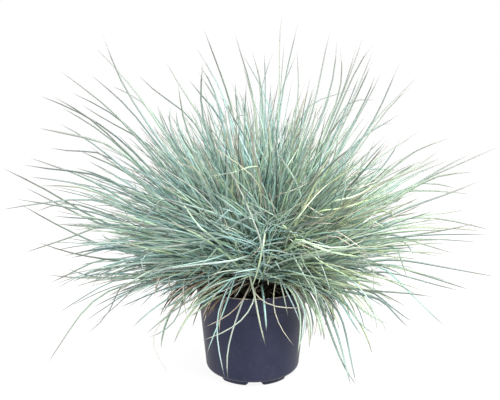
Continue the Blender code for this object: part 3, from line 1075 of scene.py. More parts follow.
def leafTones(paths, shift):
    # most are blue-green to mint, some dark, some yellow-green, and a few have dried
    m = leafMix
    count = len(paths)
    ways = unit(paths[:, -1] - paths[:, 0])
    pick = random.random(count)
    tones = random.normal(*m["usual"], count) + shift
    tones = np.where(pick < m["darkShare"], random.uniform(*m["dark"], count), tones)
    greenRight = m["greenRight"] * np.clip(ways[:, 0] + 0.3, 0, 1)
    greenShare = m["greenShare"] + greenRight + m["greenTop"] * np.clip(ways[:, 2] - 0.5, 0, 1)
    tones = np.where(pick > 1 - greenShare, random.uniform(*m["green"], count), tones)
    lowLeft = (ways[:, 2] < 0.06) & (ways[:, 0] < -0.15) & (ways[:, 1] < 0.4)
    dried = random.random(count) < np.where(lowLeft, m["driedLow"], m["driedShare"])
    dryness = np.where(dried, random.uniform(*m["dried"], count), random.uniform(*m["fresh"], count))
    return np.clip(tones, 0.0, 1.0), dryness


def makeTufts():
    for index in range(clump["tufts"]):
        paths, widths = tuftLeaves(index)
        tones, dryness = leafTones(paths, random.normal(0, leafMix["tuftVary"]))
        turns = random.uniform(-clump["turn"], clump["turn"], len(paths))
        collect("tuft_%02d" % (index + 1), paths, widths, turns, tones, dryness)


makeTufts()
print("tufts grown")

# leaves placed one by one: their courses are points of the 500 x 400 picture, from the clump to the tip

view = {
    "place": (-0.0029, -0.6706, 0.2990),
    "pitch": 0.1462,
    "middle": (250, 200),   # of the picture, in its pixels
    "focal": 600.0,         # in the same pixels: the lens over the sensor's width, times the picture's 500
    "lens": 43.2,
    "sensor": 36.0,
}

outerLeaves = {
    "depth": (-0.075, 0.085),       # how far in front of or behind the pot's axis a tip ends
    "width": (0.0022, 0.0030),
    "wider": {"dark": 0.95, "deep": 1.05, "aqua": 1.15},
    "upperRight": 0.72,             # the ones at the upper right and the lower left are narrower by these
    "lowerLeft": 0.66,
    "forward": (-0.045, 0.4),       # where dark and low ones end, and how much of the depth is added
    "comeForward": 0.02,            # a leaf that hits the pot is brought forward in these steps
    "bulge": 0.8,
    "turn": 0.6,
    "toneVary": 0.04,
    "grey": [
        [(145, 103), (133, 88), (118, 70), (96, 48)], [(130, 98), (118, 73), (110, 55), (103, 35)],
        [(155, 113), (140, 101), (128, 94), (112, 86)], [(130, 108), (113, 95), (100, 83), (91, 75)],
        [(120, 118), (107, 107), (85, 88), (60, 71)], [(135, 132), (107, 109), (90, 101), (72, 93)],
        [(130, 148), (110, 131), (75, 109), (40, 96)], [(95, 121), (75, 109), (54, 97)],
        [(155, 148), (120, 130), (95, 113), (82, 105)], [(115, 142), (92, 125), (80, 118), (61, 107)],
        [(120, 148), (85, 138), (60, 132), (38, 128)], [(95, 144), (75, 133), (60, 124)],
        [(200, 127), (172, 105), (153, 92), (138, 75)], [(205, 125), (190, 103), (178, 84), (166, 62)],
        [(186, 130), (184, 115), (181, 98), (178, 84)], [(167, 135), (161, 118), (157, 104)],
        [(170, 132), (169, 118), (171, 104)], [(177, 128), (176, 110)],
        [(232, 105), (226, 90), (213, 52), (204, 30)], [(230, 112), (213, 78), (205, 61), (196, 47)],
        [(256, 108), (245, 70), (240, 52), (235, 34)], [(224, 112), (206, 88), (198, 72)],
        [(216, 92), (208, 80), (200, 66)], [(202, 118), (202, 80), (203, 62)],
        [(273, 115), (260, 86), (251, 70), (243, 55)], [(264, 95), (258, 68), (252, 51)],
        [(266, 84), (265, 65), (264, 50)], [(259, 103), (263, 82), (268, 65), (274, 50)],
        [(280, 90), (278, 65), (278, 42), (279, 28), (282, 13)],
        [(282, 97), (288, 66), (295, 38), (299, 20)],
        [(276, 108), (289, 76), (295, 60), (299, 48)], [(281, 90), (282, 65), (284, 43)],
        [(317, 95), (321, 65), (324, 50), (330, 32)], [(331, 90), (334, 70), (337, 55), (337, 40)],
        [(342, 88), (341, 65), (340, 48)], [(299, 100), (297, 80), (297, 50)],
        [(237, 112), (236, 95), (235, 80)], [(248, 112), (242, 102), (238, 91)],
        [(302, 108), (320, 101), (338, 94), (356, 88)], [(224, 120), (210, 107), (198, 95), (189, 80)],
        [(343, 92), (349, 72), (353, 60), (357, 45)], [(346, 86), (354, 65), (359, 50), (363, 36)],
        [(353, 75), (362, 58), (374, 43)], [(350, 105), (360, 85), (366, 70), (373, 50)],
        [(355, 100), (366, 75), (373, 60)], [(362, 110), (369, 97), (376, 85), (382, 71)],
        [(348, 105), (354, 88), (362, 70)], [(370, 92), (375, 75)],
        [(368, 130), (376, 118), (390, 85), (400, 62)], [(378, 115), (389, 106), (400, 95), (417, 77)],
        [(386, 110), (400, 97), (412, 86)], [(355, 140), (370, 133), (385, 124), (403, 112)],
        [(365, 131), (382, 125), (393, 123)], [(368, 182), (380, 170), (390, 160), (397, 149), (401, 137)],
        [(370, 163), (398, 148), (410, 140), (419, 131)], [(403, 158), (415, 151), (430, 145), (450, 138)],
        [(390, 196), (415, 184), (450, 168), (470, 159), (498, 147)],
        [(366, 160), (370, 150), (375, 139)], [(338, 170), (357, 169), (380, 169), (400, 170)],
        [(345, 102), (355, 101), (375, 100)],
        [(108, 154), (90, 154), (72, 153), (50, 148)], [(130, 172), (110, 165), (95, 158), (76, 149)],
        [(107, 189), (85, 176), (72, 171), (50, 165), (30, 158)],
        [(115, 181), (85, 172), (65, 172), (45, 169), (23, 165)],
        [(125, 181), (100, 168), (88, 161)], [(120, 184), (92, 172), (76, 168)],
        [(90, 217), (68, 202), (60, 196), (40, 186), (20, 176), (2, 168)],
        [(85, 218), (60, 205), (40, 194), (24, 187)],
        [(115, 203), (80, 199), (60, 201), (40, 203), (20, 206), (0, 210)],
        [(110, 217), (95, 213), (75, 209), (55, 205), (15, 199)],
        [(80, 203), (62, 203), (48, 207), (35, 212)],
        [(105, 248), (92, 241), (78, 235), (50, 222), (35, 213), (20, 204)],
        [(118, 220), (105, 226), (78, 235), (50, 244), (24, 253)], [(104, 243), (90, 243), (76, 243)],
        [(110, 240), (107, 241), (101, 233)], [(112, 247), (100, 251), (85, 256), (70, 258)],
        [(95, 278), (85, 275), (66, 268)], [(95, 273), (82, 278), (72, 282)],
        [(125, 277), (110, 283), (100, 287), (85, 296), (70, 305), (57, 314)],
        [(135, 281), (115, 286), (100, 291), (85, 299), (71, 306)],
        [(170, 280), (160, 287), (150, 296), (139, 308)],
        [(425, 180), (440, 177), (473, 172)], [(435, 172), (450, 164), (468, 155)],
        [(400, 176), (410, 170), (425, 162), (437, 152)], [(390, 181), (405, 174), (425, 165), (440, 158)],
        [(395, 183), (410, 176), (430, 168), (447, 161)], [(395, 175), (408, 168), (423, 160)],
        [(415, 182), (435, 185), (455, 188)], [(385, 195), (430, 192), (455, 191), (470, 194)],
        [(395, 220), (430, 216), (450, 213), (468, 209)],
        [(390, 220), (425, 217), (440, 218), (460, 222), (490, 230)],
        [(378, 262), (388, 273), (400, 284), (415, 297), (430, 312), (445, 327)],
        [(392, 243), (398, 253), (403, 262), (407, 278)], [(400, 238), (407, 246), (414, 256)],
        [(338, 293), (352, 315), (362, 326), (375, 335)],
        [(345, 292), (352, 300), (360, 310), (375, 318), (388, 325)],
        [(304, 308), (312, 320), (322, 332), (334, 340)], [(335, 318), (345, 322), (355, 327), (368, 329)],
        [(305, 312), (310, 325), (313, 340), (314, 356)],
        [(306, 308), (312, 318), (318, 330), (321, 345), (321, 363)],
    ],
    "dark": [
        [(120, 148), (105, 144), (85, 138), (60, 133), (38, 128)],
        [(130, 262), (115, 260), (100, 259), (65, 252), (37, 242)],
        [(165, 277), (145, 284), (130, 290), (117, 300), (100, 311), (84, 322)],
        [(382, 220), (390, 214), (405, 208), (425, 202), (445, 195), (465, 188), (482, 180)],
        [(395, 238), (410, 236), (430, 233), (450, 229), (465, 227), (477, 223)],
        [(385, 231), (395, 236), (410, 241), (425, 245), (440, 249), (455, 254)],
        [(390, 258), (410, 262), (450, 268), (475, 273), (497, 277)],
        [(380, 262), (395, 268), (410, 271), (430, 277), (450, 283), (470, 290)],
        [(385, 271), (405, 277), (425, 282), (445, 287), (461, 291)],
        [(378, 297), (388, 308), (398, 318), (409, 328)],
        [(375, 291), (390, 292), (405, 293), (418, 294), (434, 297)],
        [(370, 290), (380, 298), (400, 314), (414, 323)],
        [(375, 291), (383, 295), (395, 300), (407, 307)],
        [(356, 180), (363, 171), (370, 163), (380, 151), (387, 142)],
        [(122, 282), (121, 288), (117, 300), (110, 314), (100, 326), (87, 334)],
        [(330, 130), (340, 122), (350, 113), (359, 105)],
    ],
    "aqua": [
        [(120, 221), (105, 219), (85, 219), (65, 218), (52, 216)],
        [(110, 257), (85, 267), (75, 272), (62, 278), (50, 283)],
        [(130, 276), (115, 278), (75, 278), (60, 277), (48, 275)],
        [(100, 190), (75, 184), (60, 180), (45, 178), (30, 177)],
        [(200, 282), (190, 290), (180, 300), (170, 306), (158, 310)],
        [(256, 108), (247, 80), (243, 65)], [(236, 118), (228, 108), (220, 96)],
    ],
    "deep": [
        [(312, 292), (320, 305), (326, 320), (333, 340), (340, 358), (346, 372), (357, 386)],
        [(318, 296), (330, 315), (336, 330), (342, 348), (345, 365), (351, 386)],
        [(330, 300), (342, 318), (348, 345), (352, 365), (356, 383)],
        [(300, 300), (320, 312), (326, 325), (328, 340), (329, 355)],
        [(304, 300), (316, 315), (324, 330), (330, 345), (336, 352)],
        [(335, 296), (346, 312), (355, 326), (362, 336)],
    ],
    "olive": [
        [(130, 230), (110, 229), (90, 227), (70, 225), (56, 224)],
        [(95, 190), (70, 187), (55, 186), (40, 186)],
        [(150, 279), (125, 284), (105, 290), (95, 296), (82, 310), (70, 329), (60, 345), (47, 364)],
        [(205, 292), (190, 300), (175, 310), (160, 322), (146, 334)],
        [(390, 240), (405, 240), (430, 240), (452, 239)],
        [(385, 229), (405, 227), (430, 227), (450, 228), (465, 229), (482, 231)],
        [(357, 288), (362, 297), (370, 308), (377, 319)],
        [(182, 300), (183, 312), (172, 325), (163, 333), (148, 338)],
        [(180, 300), (172, 310), (166, 322), (162, 335), (161, 349)],
        [(192, 302), (188, 310), (183, 320), (181, 336)],
        [(212, 300), (202, 309), (190, 317)], [(378, 210), (390, 214), (400, 221)],
    ],
}

frontLeaves = {
    "depths": ((255, -0.030), (290, -0.066), (302, -0.076), (390, -0.086)),     # picture row and depth
    "comeForward": 0.006,
    "rootShare": 0.6,
    "slim": 0.76,
    "turn": 0.4,
    "leaves": [         # kind, width, course
        ("pale", 0.0034, [(246, 262), (252, 283), (256, 303), (261, 330), (266, 347)]),
        ("pale", 0.0027, [(240, 268), (227, 290), (219, 305), (216, 322), (217, 338), (220, 358),
            (225, 379)]),
        ("aqua", 0.0026, [(243, 258), (231, 290), (221, 319), (208, 347), (206, 357)]),
        ("straw", 0.0020, [(249, 288), (241, 304), (228, 316), (216, 322), (203, 328)]),
        ("pale", 0.0024, [(256, 294), (250, 311), (243, 320), (234, 327), (223, 333), (201, 341)]),
        ("browned", 0.0026, [(247, 290), (238, 314), (233, 328), (227, 351), (226, 363), (228, 380)]),
        ("cream", 0.0016, [(277, 276), (273, 293), (273, 309), (277, 320), (284, 334), (296, 348)]),
        ("cream", 0.0018, [(252, 290), (263, 302), (273, 307), (286, 308), (306, 308)]),
        ("pale", 0.0026, [(267, 250), (276, 268), (281, 285), (285, 300), (288, 317)]),
        ("pale", 0.0026, [(267, 255), (278, 273), (283, 286), (293, 304), (298, 316), (301, 326)]),
        ("pale", 0.0024, [(284, 240), (293, 240), (298, 254), (299, 264), (296, 276), (289, 291)]),
        ("pale", 0.0024, [(305, 238), (314, 240), (318, 250), (319, 259), (312, 273)]),
        ("cream", 0.0032, [(283, 257), (289, 267), (296, 275), (305, 282), (313, 289), (324, 301)]),
        ("pale", 0.0030, [(279, 238), (290, 253), (299, 261), (311, 268)]),
        ("pale", 0.0030, [(290, 285), (302, 302), (307, 318), (303, 334), (297, 352)]),
        ("aqua", 0.0028, [(285, 283), (297, 300), (301, 318), (300, 336), (297, 358)]),
        ("straw", 0.0022, [(222, 288), (209, 303), (201, 321)]),
        ("aqua", 0.0034, [(235, 275), (223, 290), (207, 300), (190, 309)]),
        ("aqua", 0.0030, [(230, 270), (213, 283), (196, 296), (180, 306)]),
        ("olive", 0.0026, [(225, 278), (210, 288), (196, 300), (185, 315)]),
        ("pale", 0.0026, [(252, 262), (246, 276), (240, 290), (233, 300)]),
        ("aqua", 0.0030, [(287, 262), (298, 280), (306, 296), (311, 312)]),
        ("pale", 0.0026, [(296, 262), (310, 280), (320, 296), (328, 314)]),
        ("aqua", 0.0028, [(300, 266), (312, 286), (318, 300), (322, 318)]),
        ("straw", 0.0011, [(205, 292), (190, 300), (175, 310), (160, 322), (147, 334), (152, 348),
            (160, 361), (168, 373)]),
        ("dead", 0.0060, [(170, 268), (160, 276), (156, 285), (154, 297)]),
        ("dead", 0.0030, [(176, 270), (167, 278), (169, 289), (176, 299)]),
        ("dead", 0.0024, [(190, 268), (184, 280), (183, 300), (187, 318)]),
        ("straw", 0.0022, [(212, 268), (198, 278), (180, 288), (166, 302)]),
        ("straw", 0.0024, [(222, 278), (208, 284), (196, 296), (187, 312)]),
        ("straw", 0.0020, [(236, 276), (222, 284), (206, 290), (193, 300)]),
        ("olive", 0.0026, [(228, 272), (206, 282), (186, 296), (165, 318)]),
        ("olive", 0.0024, [(232, 280), (214, 292), (196, 302), (176, 318)]),
        ("browned", 0.0022, [(240, 282), (228, 290), (214, 294), (200, 297)]),
    ],
}
innerLeaves = {
    "share": 0.92,          # this much of a blade's course lies in front of the leaves around it
    "slim": 0.85,
    "slimDry": 0.64,
    "turnBehind": (0.016, 0.046),   # a blade that turns back sharply does so this far behind the others
    "steepest": 0.06,       # how much nearer or farther its tip may be than its start
    "over": 0.002,
    "alone": -0.06,         # depth of one that has no others behind it
    "turn": 0.5,
    "toneVary": 0.02,
    "leaves": [
        ("pale", 0.0022, [(257, 234), (253, 221), (250, 212), (247, 203), (244, 194), (240, 184),
            (236, 173), (231, 164), (222, 157)]),
        ("cream", 0.0021, [(262, 186), (257, 180), (248, 171), (239, 164), (230, 158), (221, 151),
            (211, 145)]),
        ("straw", 0.0014, [(275, 217), (273, 205), (272, 196), (268, 188)]),
        ("green", 0.0020, [(288, 168), (290, 156), (291, 148), (293, 138)]),
        ("aqua", 0.0018, [(287, 172), (291, 160), (297, 150), (303, 142)]),
        ("aqua", 0.0020, [(290, 170), (297, 160), (303, 152), (310, 141)]),
        ("rust", 0.0019, [(285, 197), (292, 191), (299, 189), (305, 184), (313, 180)]),
        ("green", 0.0014, [(247, 173), (228, 176), (212, 177), (195, 177)]),
        ("pale", 0.0028, [(299, 222), (304, 211), (308, 202), (314, 195), (322, 189), (331, 184),
            (336, 178)]),
        ("pale", 0.0014, [(318, 201), (325, 194), (333, 188), (341, 182)]),
        ("aqua", 0.0023, [(284, 219), (292, 210), (299, 201), (305, 191)]),
        ("aqua", 0.0025, [(203, 236), (196, 224), (190, 213), (184, 204), (177, 195)]),
        ("lime", 0.0028, [(235, 262), (226, 255), (218, 248), (210, 240), (200, 235), (190, 231),
            (179, 226), (168, 221)]),
        ("green", 0.0030, [(238, 248), (228, 245), (218, 241), (207, 237)]),
        ("pale", 0.0023, [(238, 263), (224, 262), (210, 263), (190, 265), (175, 267), (158, 270),
            (140, 273)]),
        ("pale", 0.0018, [(240, 255), (230, 261), (220, 270), (210, 279), (202, 287)]),
        ("pale", 0.0018, [(238, 248), (232, 236), (227, 227), (223, 217), (219, 201)]),
        ("green", 0.0014, [(235, 247), (236, 242), (239, 236), (242, 230)]),
        ("aqua", 0.0016, [(223, 221), (212, 228), (204, 233)]),
        ("cream", 0.0018, [(261, 251), (256, 254), (251, 256), (247, 260)]),
        ("pale", 0.0020, [(264, 251), (261, 244), (260, 238), (263, 230), (269, 222)]),
        ("pale", 0.0018, [(270, 242), (273, 237), (275, 231), (279, 225)]),
        ("pale", 0.0020, [(262, 238), (250, 243), (240, 248), (231, 253), (225, 251)]),
        ("lime", 0.0024, [(264, 249), (260, 262), (257, 275), (254, 287), (248, 295)]),
        ("olive", 0.0026, [(270, 263), (264, 270), (260, 279), (257, 288)]),
        ("cream", 0.0010, [(269, 270), (266, 275), (265, 279), (267, 282)]),
        ("aqua", 0.0024, [(296, 262), (301, 269), (307, 279), (312, 288), (317, 296), (321, 306)]),
        ("pale", 0.0014, [(304, 266), (310, 273), (316, 281), (323, 288), (330, 295)]),
        ("pale", 0.0018, [(320, 262), (325, 270), (328, 279), (330, 289), (333, 301)]),
        ("rust", 0.0022, [(308, 220), (318, 219), (327, 218), (335, 216)]),
        ("dead", 0.0022, [(312, 226), (322, 223), (331, 222), (339, 224)]),
        ("rust", 0.0020, [(312, 213), (320, 216), (329, 217), (340, 220)]),
        ("cream", 0.0020, [(286, 240), (297, 244), (306, 246), (314, 249), (323, 252)]),
        ("lime", 0.0032, [(312, 249), (326, 251), (340, 254), (353, 256), (372, 258)]),
        ("aqua", 0.0022, [(316, 250), (335, 250), (349, 249), (357, 246), (365, 240), (371, 235)]),
        ("green", 0.0025, [(316, 261), (330, 267), (340, 272), (351, 278), (361, 282), (371, 289)]),
        ("olive", 0.0027, [(322, 278), (340, 283), (353, 287), (365, 289), (375, 291)]),
        ("deep", 0.0022, [(345, 280), (360, 281), (378, 282)]),
        ("dark", 0.0016, [(360, 258), (372, 262), (378, 270), (377, 281), (374, 290), (371, 302)]),
        ("dark", 0.0014, [(378, 270), (370, 267), (365, 268), (357, 277)]),
        ("dark", 0.0017, [(302, 297), (309, 306), (315, 310), (321, 312), (322, 317), (317, 318),
            (313, 315)]),
        ("straw", 0.0018, [(350, 243), (362, 246), (369, 251), (374, 257)]),
        ("straw", 0.0016, [(346, 246), (358, 249), (366, 255), (371, 262)]),
        ("lime", 0.0018, [(380, 228), (387, 229), (392, 231), (398, 234)]),
        ("pale", 0.0012, [(341, 245), (341, 237), (340, 228)]),
        ("straw", 0.0021, [(341, 221), (352, 214), (362, 208), (373, 203), (382, 200)]),
        ("rust", 0.0024, [(352, 193), (362, 188), (369, 184), (377, 180)]),
        ("aqua", 0.0032, [(343, 204), (352, 199), (361, 194), (370, 188), (381, 181)]),
        ("green", 0.0024, [(328, 215), (343, 209), (353, 205), (365, 201), (380, 196), (397, 190)]),
        ("deep", 0.0020, [(341, 208), (344, 198), (347, 186), (348, 175), (346, 160)]),
        ("straw", 0.0020, [(346, 181), (356, 174), (363, 169)]),
        ("lime", 0.0028, [(313, 192), (318, 178), (323, 167), (328, 157), (334, 147)]),
        ("lime", 0.0018, [(294, 186), (298, 174), (301, 163)]),
        ("dark", 0.0017, [(152, 215), (147, 220), (141, 226), (136, 232), (130, 240)]),
        ("lime", 0.0026, [(170, 205), (155, 200), (142, 196), (130, 191), (118, 186)]),
        ("straw", 0.0018, [(131, 219), (127, 214), (123, 210), (118, 209), (113, 211), (107, 214)]),
        ("lime", 0.0030, [(160, 226), (150, 223), (135, 219), (122, 215), (110, 211)]),
        ("cream", 0.0020, [(206, 217), (195, 216), (186, 214), (175, 211)]),
        ("green", 0.0028, [(190, 249), (170, 248), (155, 246), (140, 248), (125, 250), (108, 251)]),
        ("green", 0.0018, [(212, 243), (195, 239), (180, 237), (165, 238), (150, 240)]),
        ("lime", 0.0020, [(216, 254), (203, 264), (192, 275), (184, 281)]),
        ("dark", 0.0020, [(180, 153), (173, 138), (168, 129), (163, 120), (157, 104)]),
        ("aqua", 0.0026, [(195, 158), (188, 147), (182, 138), (176, 126)]),
        ("aqua", 0.0024, [(192, 156), (184, 144), (179, 134), (172, 126)]),
        ("straw", 0.0016, [(188, 171), (178, 164), (171, 158)]),
        ("dead", 0.0018, [(206, 155), (198, 147), (191, 140)]),
        ("olive", 0.0018, [(212, 137), (209, 122), (207, 107)]),
        ("dead", 0.0022, [(229, 147), (227, 132), (226, 120), (225, 112)]),
        ("dead", 0.0020, [(236, 152), (233, 140), (230, 128)]),
        ("pale", 0.0030, [(250, 162), (244, 146), (238, 132), (233, 120), (229, 110), (222, 99)]),
        ("aqua", 0.0028, [(266, 135), (262, 122), (257, 110), (252, 98), (249, 84)]),
        ("dead", 0.0014, [(238, 120), (246, 117), (252, 112)]),
        ("dead", 0.0014, [(250, 130), (247, 124), (243, 117)]),
    ],
}
kindTones = {       # tone and dryness
    "grey": (0.37, 0.10), "dark": (0.16, 0.20), "aqua": (0.55, 0.04), "olive": (0.79, 0.16),
    "green": (0.79, 0.06),
    "pale": (0.67, 0.10), "straw": (0.95, 0.95), "cream": (0.97, 0.55), "browned": (0.72, 0.35),
    "dead": (0.05, 0.85),
    "deep": (0.24, 0.14), "lime": (0.88, 0.04), "rust": (0.80, 0.92),
}


def fromPicture(across, down, depth):
    # the point seen at a place of the picture, at a depth in front of or behind the pot's axis
    away = depth - view["place"][1]
    slope = (view["middle"][1] - down) / view["focal"]
    cosine, sine = math.cos(view["pitch"]), math.sin(view["pitch"])
    rise = away * (slope * cosine - sine) / (cosine + slope * sine)
    distance = away * cosine - rise * sine
    sideways = (across - view["middle"][0]) / view["focal"] * distance
    return np.array([view["place"][0] + sideways, depth, view["place"][2] + rise])


def clearOfWall(across, down, depth, gap=0.004):
    # the same, brought forward if it would be inside the pot
    for attempt in range(4):
        point = fromPicture(across, down, depth)
        wall = float(wallAt(point[2])) + gap
        if point[2] > potHigh.z + 0.003 or abs(point[0]) > wall:
            break
        depth = min(depth, -math.sqrt(wall ** 2 - point[0] ** 2))
    return point


def smoothPath(points, rings):
    # a rounded line through the points, in steps of even length
    points = np.asarray(points)
    ends = np.vstack([2 * points[0] - points[1], points, 2 * points[-1] - points[-2]])
    spots = []
    for index in range(1, len(ends) - 2):
        before, here, after, later = ends[index - 1:index + 3]
        for share in np.linspace(0, 1, 12, endpoint=index == len(ends) - 3):
            turning = (2 * before - 5 * here + 4 * after - later) * share ** 2
            twisting = (3 * here - before - 3 * after + later) * share ** 3
            spots.append(0.5 * (2 * here + (after - before) * share + turning + twisting))
    spots = np.array(spots)
    lengths = np.concatenate([[0], np.cumsum(np.linalg.norm(np.diff(spots, axis=0), axis=1))])
    even = np.linspace(0, lengths[-1], rings + 1)
    path = np.stack([np.interp(even, lengths, spots[:, axis]) for axis in range(3)], -1)
    for index in range(2):
        path[1:-1] = (path[:-2] + 2 * path[1:-1] + path[2:]) / 4
    return path


tuftPlaces = [tuftPlace(index) for index in range(clump["tufts"])]
tuftWays = np.array([toward(lean, azimuth) for lean, azimuth, root in tuftPlaces])


def nearestTuft(tip):
    way = unit(np.array(tip) - np.array([*crownCentre, crownEdge]))
    return int(np.argmax(tuftWays @ way))


def outerPath(course, tipDepth):
    # None if it can't be brought clear of the pot
    o = outerLeaves
    for attempt in range(5):
        root = tuftPlaces[nearestTuft(fromPicture(*course[-1], tipDepth))][2]
        shares = (np.arange(len(course)) + 2) / (len(course) + 1)
        depths = root[1] + (tipDepth - root[1]) * shares ** o["bulge"]
        points = [clearOfWall(*spot, depth) for spot, depth in zip(course, depths)]
        path = smoothPath([root, *points], blade["rings"])
        if not hitsPot(path[None])[0]:
            return liftOverRim(path)
        tipDepth -= o["comeForward"]
    return None


def placeOuterLeaves():
    o = outerLeaves
    lost = 0
    for kind in ("grey", "dark", "aqua", "deep", "olive"):
        for course in o[kind]:
            across, down = course[-1]
            tipDepth = random.uniform(*o["depth"])
            if kind == "dark" or down > 290:
                tipDepth = o["forward"][0] + o["forward"][1] * tipDepth
            path = outerPath(course, tipDepth)
            if path is None:
                lost += 1
                continue
            tone, dryness = kindTones[kind]
            widest = o["wider"].get(kind, 1.0)
            if across > 255 and down < 150:
                widest *= o["upperRight"]
            if across < 150 and down > 290:
                widest *= o["lowerLeft"]
            width = random.uniform(*o["width"]) * widest
            turn = random.uniform(-o["turn"], o["turn"]) + math.pi / 2
            node = "tuft_%02d" % (nearestTuft(path[-1]) + 1)
            collect(node, [path], [width], [turn], [tone + random.normal(0, o["toneVary"])], [dryness])
    print("outer leaves placed, %d left out" % lost)


hanging = {
    "azimuths": (-116, -90, -70, -47, -146, -155, 5, 78, 112),     # of the nodes, in degrees
    "leaves": (             # azimuth, lean and droop in degrees, length and number
        (-116, 88, 82, 0.125, 3), (-90, 86, 72, 0.095, 1), (-70, 86, 85, 0.110, 2),
        (-38, 92, 84, 0.112, 46), (-146, 92, 67, 0.130, 4), (-155, 96, 16, 0.215, 3),
        (5, 96, 54, 0.158, 12), (78, 94, 74, 0.150, 9), (112, 94, 72, 0.155, 9)),
    "rootShare": 0.8,       # of the crown's radius
    "vary": (0.22, 0.10),   # of azimuth and lean
    "lengths": (0.40, 0.95),
    "droops": (0.6, 1.15),
    "width": (0.0018, 0.0028),
    "turn": 1,
}
straw = {
    "leaves": ((-134, 86, 42, 0.086, 120), (175, 90, 30, 0.102, 90), (-26, 86, 60, 0.088, 60)),
    "rootShare": (0.70, 0.26),
    "rootRise": 0.006,
    "vary": (0.40, 0.16),
    "wayward": 0.45,
    "lengths": (0.35, 1.08),
    "droops": (0.3, 1.7),
    "width": (0.0012, 0.0021),
    "turn": 1.6,
    "bare": (-112, -50),    # none ends at these azimuths, so that the soil shows at the front
}


def rimRoot(azimuth, share):
    radius = crownRadius * share
    return np.array([crownCentre[0] + radius * math.cos(azimuth), crownCentre[1] + radius * math.sin(azimuth),
                     crownTop(share)])


def placeFrontLeaves():
    f = frontLeaves
    lost = 0
    rows, depths = zip(*f["depths"])
    for kind, width, course in f["leaves"]:
        shift = 0.0
        for attempt in range(5):
            points = [clearOfWall(*spot, float(np.interp(spot[1], rows, depths)) - shift) for spot in course]
            azimuth = math.atan2(points[-1][1] - crownCentre[1], points[-1][0] - crownCentre[0])
            path = smoothPath([rimRoot(azimuth, f["rootShare"]), *points], blade["rings"])
            if not hitsPot(path[None])[0]:
                break
            shift += f["comeForward"]
        else:
            lost += 1
        degrees = math.degrees(azimuth)
        gaps = [abs((degrees - other + 180) % 360 - 180) for other in hanging["azimuths"]]
        node = "hanging_tuft_%d" % (gaps.index(min(gaps)) + 1)
        tone, dryness = kindTones[kind]
        collect(node, [path], [width * f["slim"]], [random.uniform(-f["turn"], f["turn"])], [tone], [dryness])
    print("front leaves placed, %d touch the pot" % lost)


def leavesSeen():
    # a tree of all the blades laid so far, to find what the camera sees first
    nodes = collected.values()
    rows = [value for node in nodes for value in zip(node["paths"], node["widths"], node["turns"])]
    laid = [layBlades(paths, widths, turns).reshape(-1, 3) for paths, widths, turns in rows]
    count = sum(len(paths) for paths, widths, turns in rows)
    faces = repeatFaces(bladeFaces, len(bladePoints), count)
    return BVHTree.FromPolygons(np.concatenate(laid).tolist(), faces.tolist())


def seenDepths(seen, spots, steps, samples):
    # depth of what the camera sees at places along a course, and nan where it sees no leaf
    eye = Vector(view["place"])
    depths = []
    for across, down in zip(np.interp(samples, steps, spots[:, 0]), np.interp(samples, steps, spots[:, 1])):
        place = seen.ray_cast(eye, Vector(fromPicture(across, down, 0)) - eye)[0]
        depths.append(place.y if place else np.nan)
    return np.array(depths)


def placeInnerLeaves():
    # blades that lie over the others, each just in front of most of what it crosses
    n = innerLeaves
    seen = leavesSeen()
    lost = 0
    for kind, width, course in n["leaves"]:
        spots = np.array(course, float)
        steps = np.linspace(0, 1, len(spots))
        samples = np.linspace(0, 1, 16)
        depths = seenDepths(seen, spots, steps, samples)
        found = ~np.isnan(depths)
        if found.sum() > 2:
            slope, level = np.polyfit(samples[found], depths[found], 1)
            slope = float(np.clip(slope, -n["steepest"], n["steepest"]))
            level = float(np.quantile(depths[found] - slope * samples[found], 1 - n["share"])) - n["over"]
        else:
            slope, level = 0.0, n["alone"]
        points = [clearOfWall(*spot, level + slope * step) for spot, step in zip(course, steps)]
        node = nearestTuft(points[-1])
        root = tuftPlaces[node][2]
        onward = unit(points[1] - points[0])
        if unit(points[0] - root) @ onward < 0.5:
            inward, behind = n["turnBehind"]
            hidden = points[0] - inward * onward + np.array([0, behind, 0])
            hidden[2] = max(hidden[2], crownHigh.z + 0.006)
            points.insert(0, hidden)
        path = smoothPath([root, *points], blade["rings"])
        if hitsPot(path[None])[0]:
            lost += 1
            continue
        tone, dryness = kindTones[kind]
        width *= n["slimDry" if kind in ("rust", "straw", "cream") else "slim"]
        turn = random.uniform(-n["turn"], n["turn"]) + math.pi / 2
        tones = [tone + random.normal(0, n["toneVary"])]
        collect("tuft_%02d" % (node + 1), [path], [width], [turn], tones, [dryness])
    print("inner leaves placed, %d left out" % lost)


placeOuterLeaves()
placeFrontLeaves()
placeInnerLeaves()


def archPaths(roots, leans, azimuths, lengths, droops):
    # leaves that arch outwards and down, each curling a little to one side
    paths = np.empty((len(roots), blade["rings"] + 1, 3))
    paths[:, 0] = roots
    curls = random.normal(0, 0.25, len(roots))
    for ring in range(blade["rings"]):
        middle = (ring + 0.5) / blade["rings"]
        angle = leans * (0.62 + 0.58 * middle ** 0.6) + droops * middle
        way = toward(angle, azimuths + curls * middle)
        paths[:, ring + 1] = paths[:, ring] + way * (lengths / blade["rings"])[:, None]
    return paths


def scatterArches(h, azimuth, lean, droop, length, count):
    azimuths = np.radians(azimuth) + random.normal(0, h["vary"][0], count)
    leans = np.radians(lean) + random.normal(0, h["vary"][1], count)
    lengths = length * random.uniform(*h["lengths"], count)
    droops = np.radians(droop) * random.uniform(*h["droops"], count)
    return azimuths, leans, lengths, droops


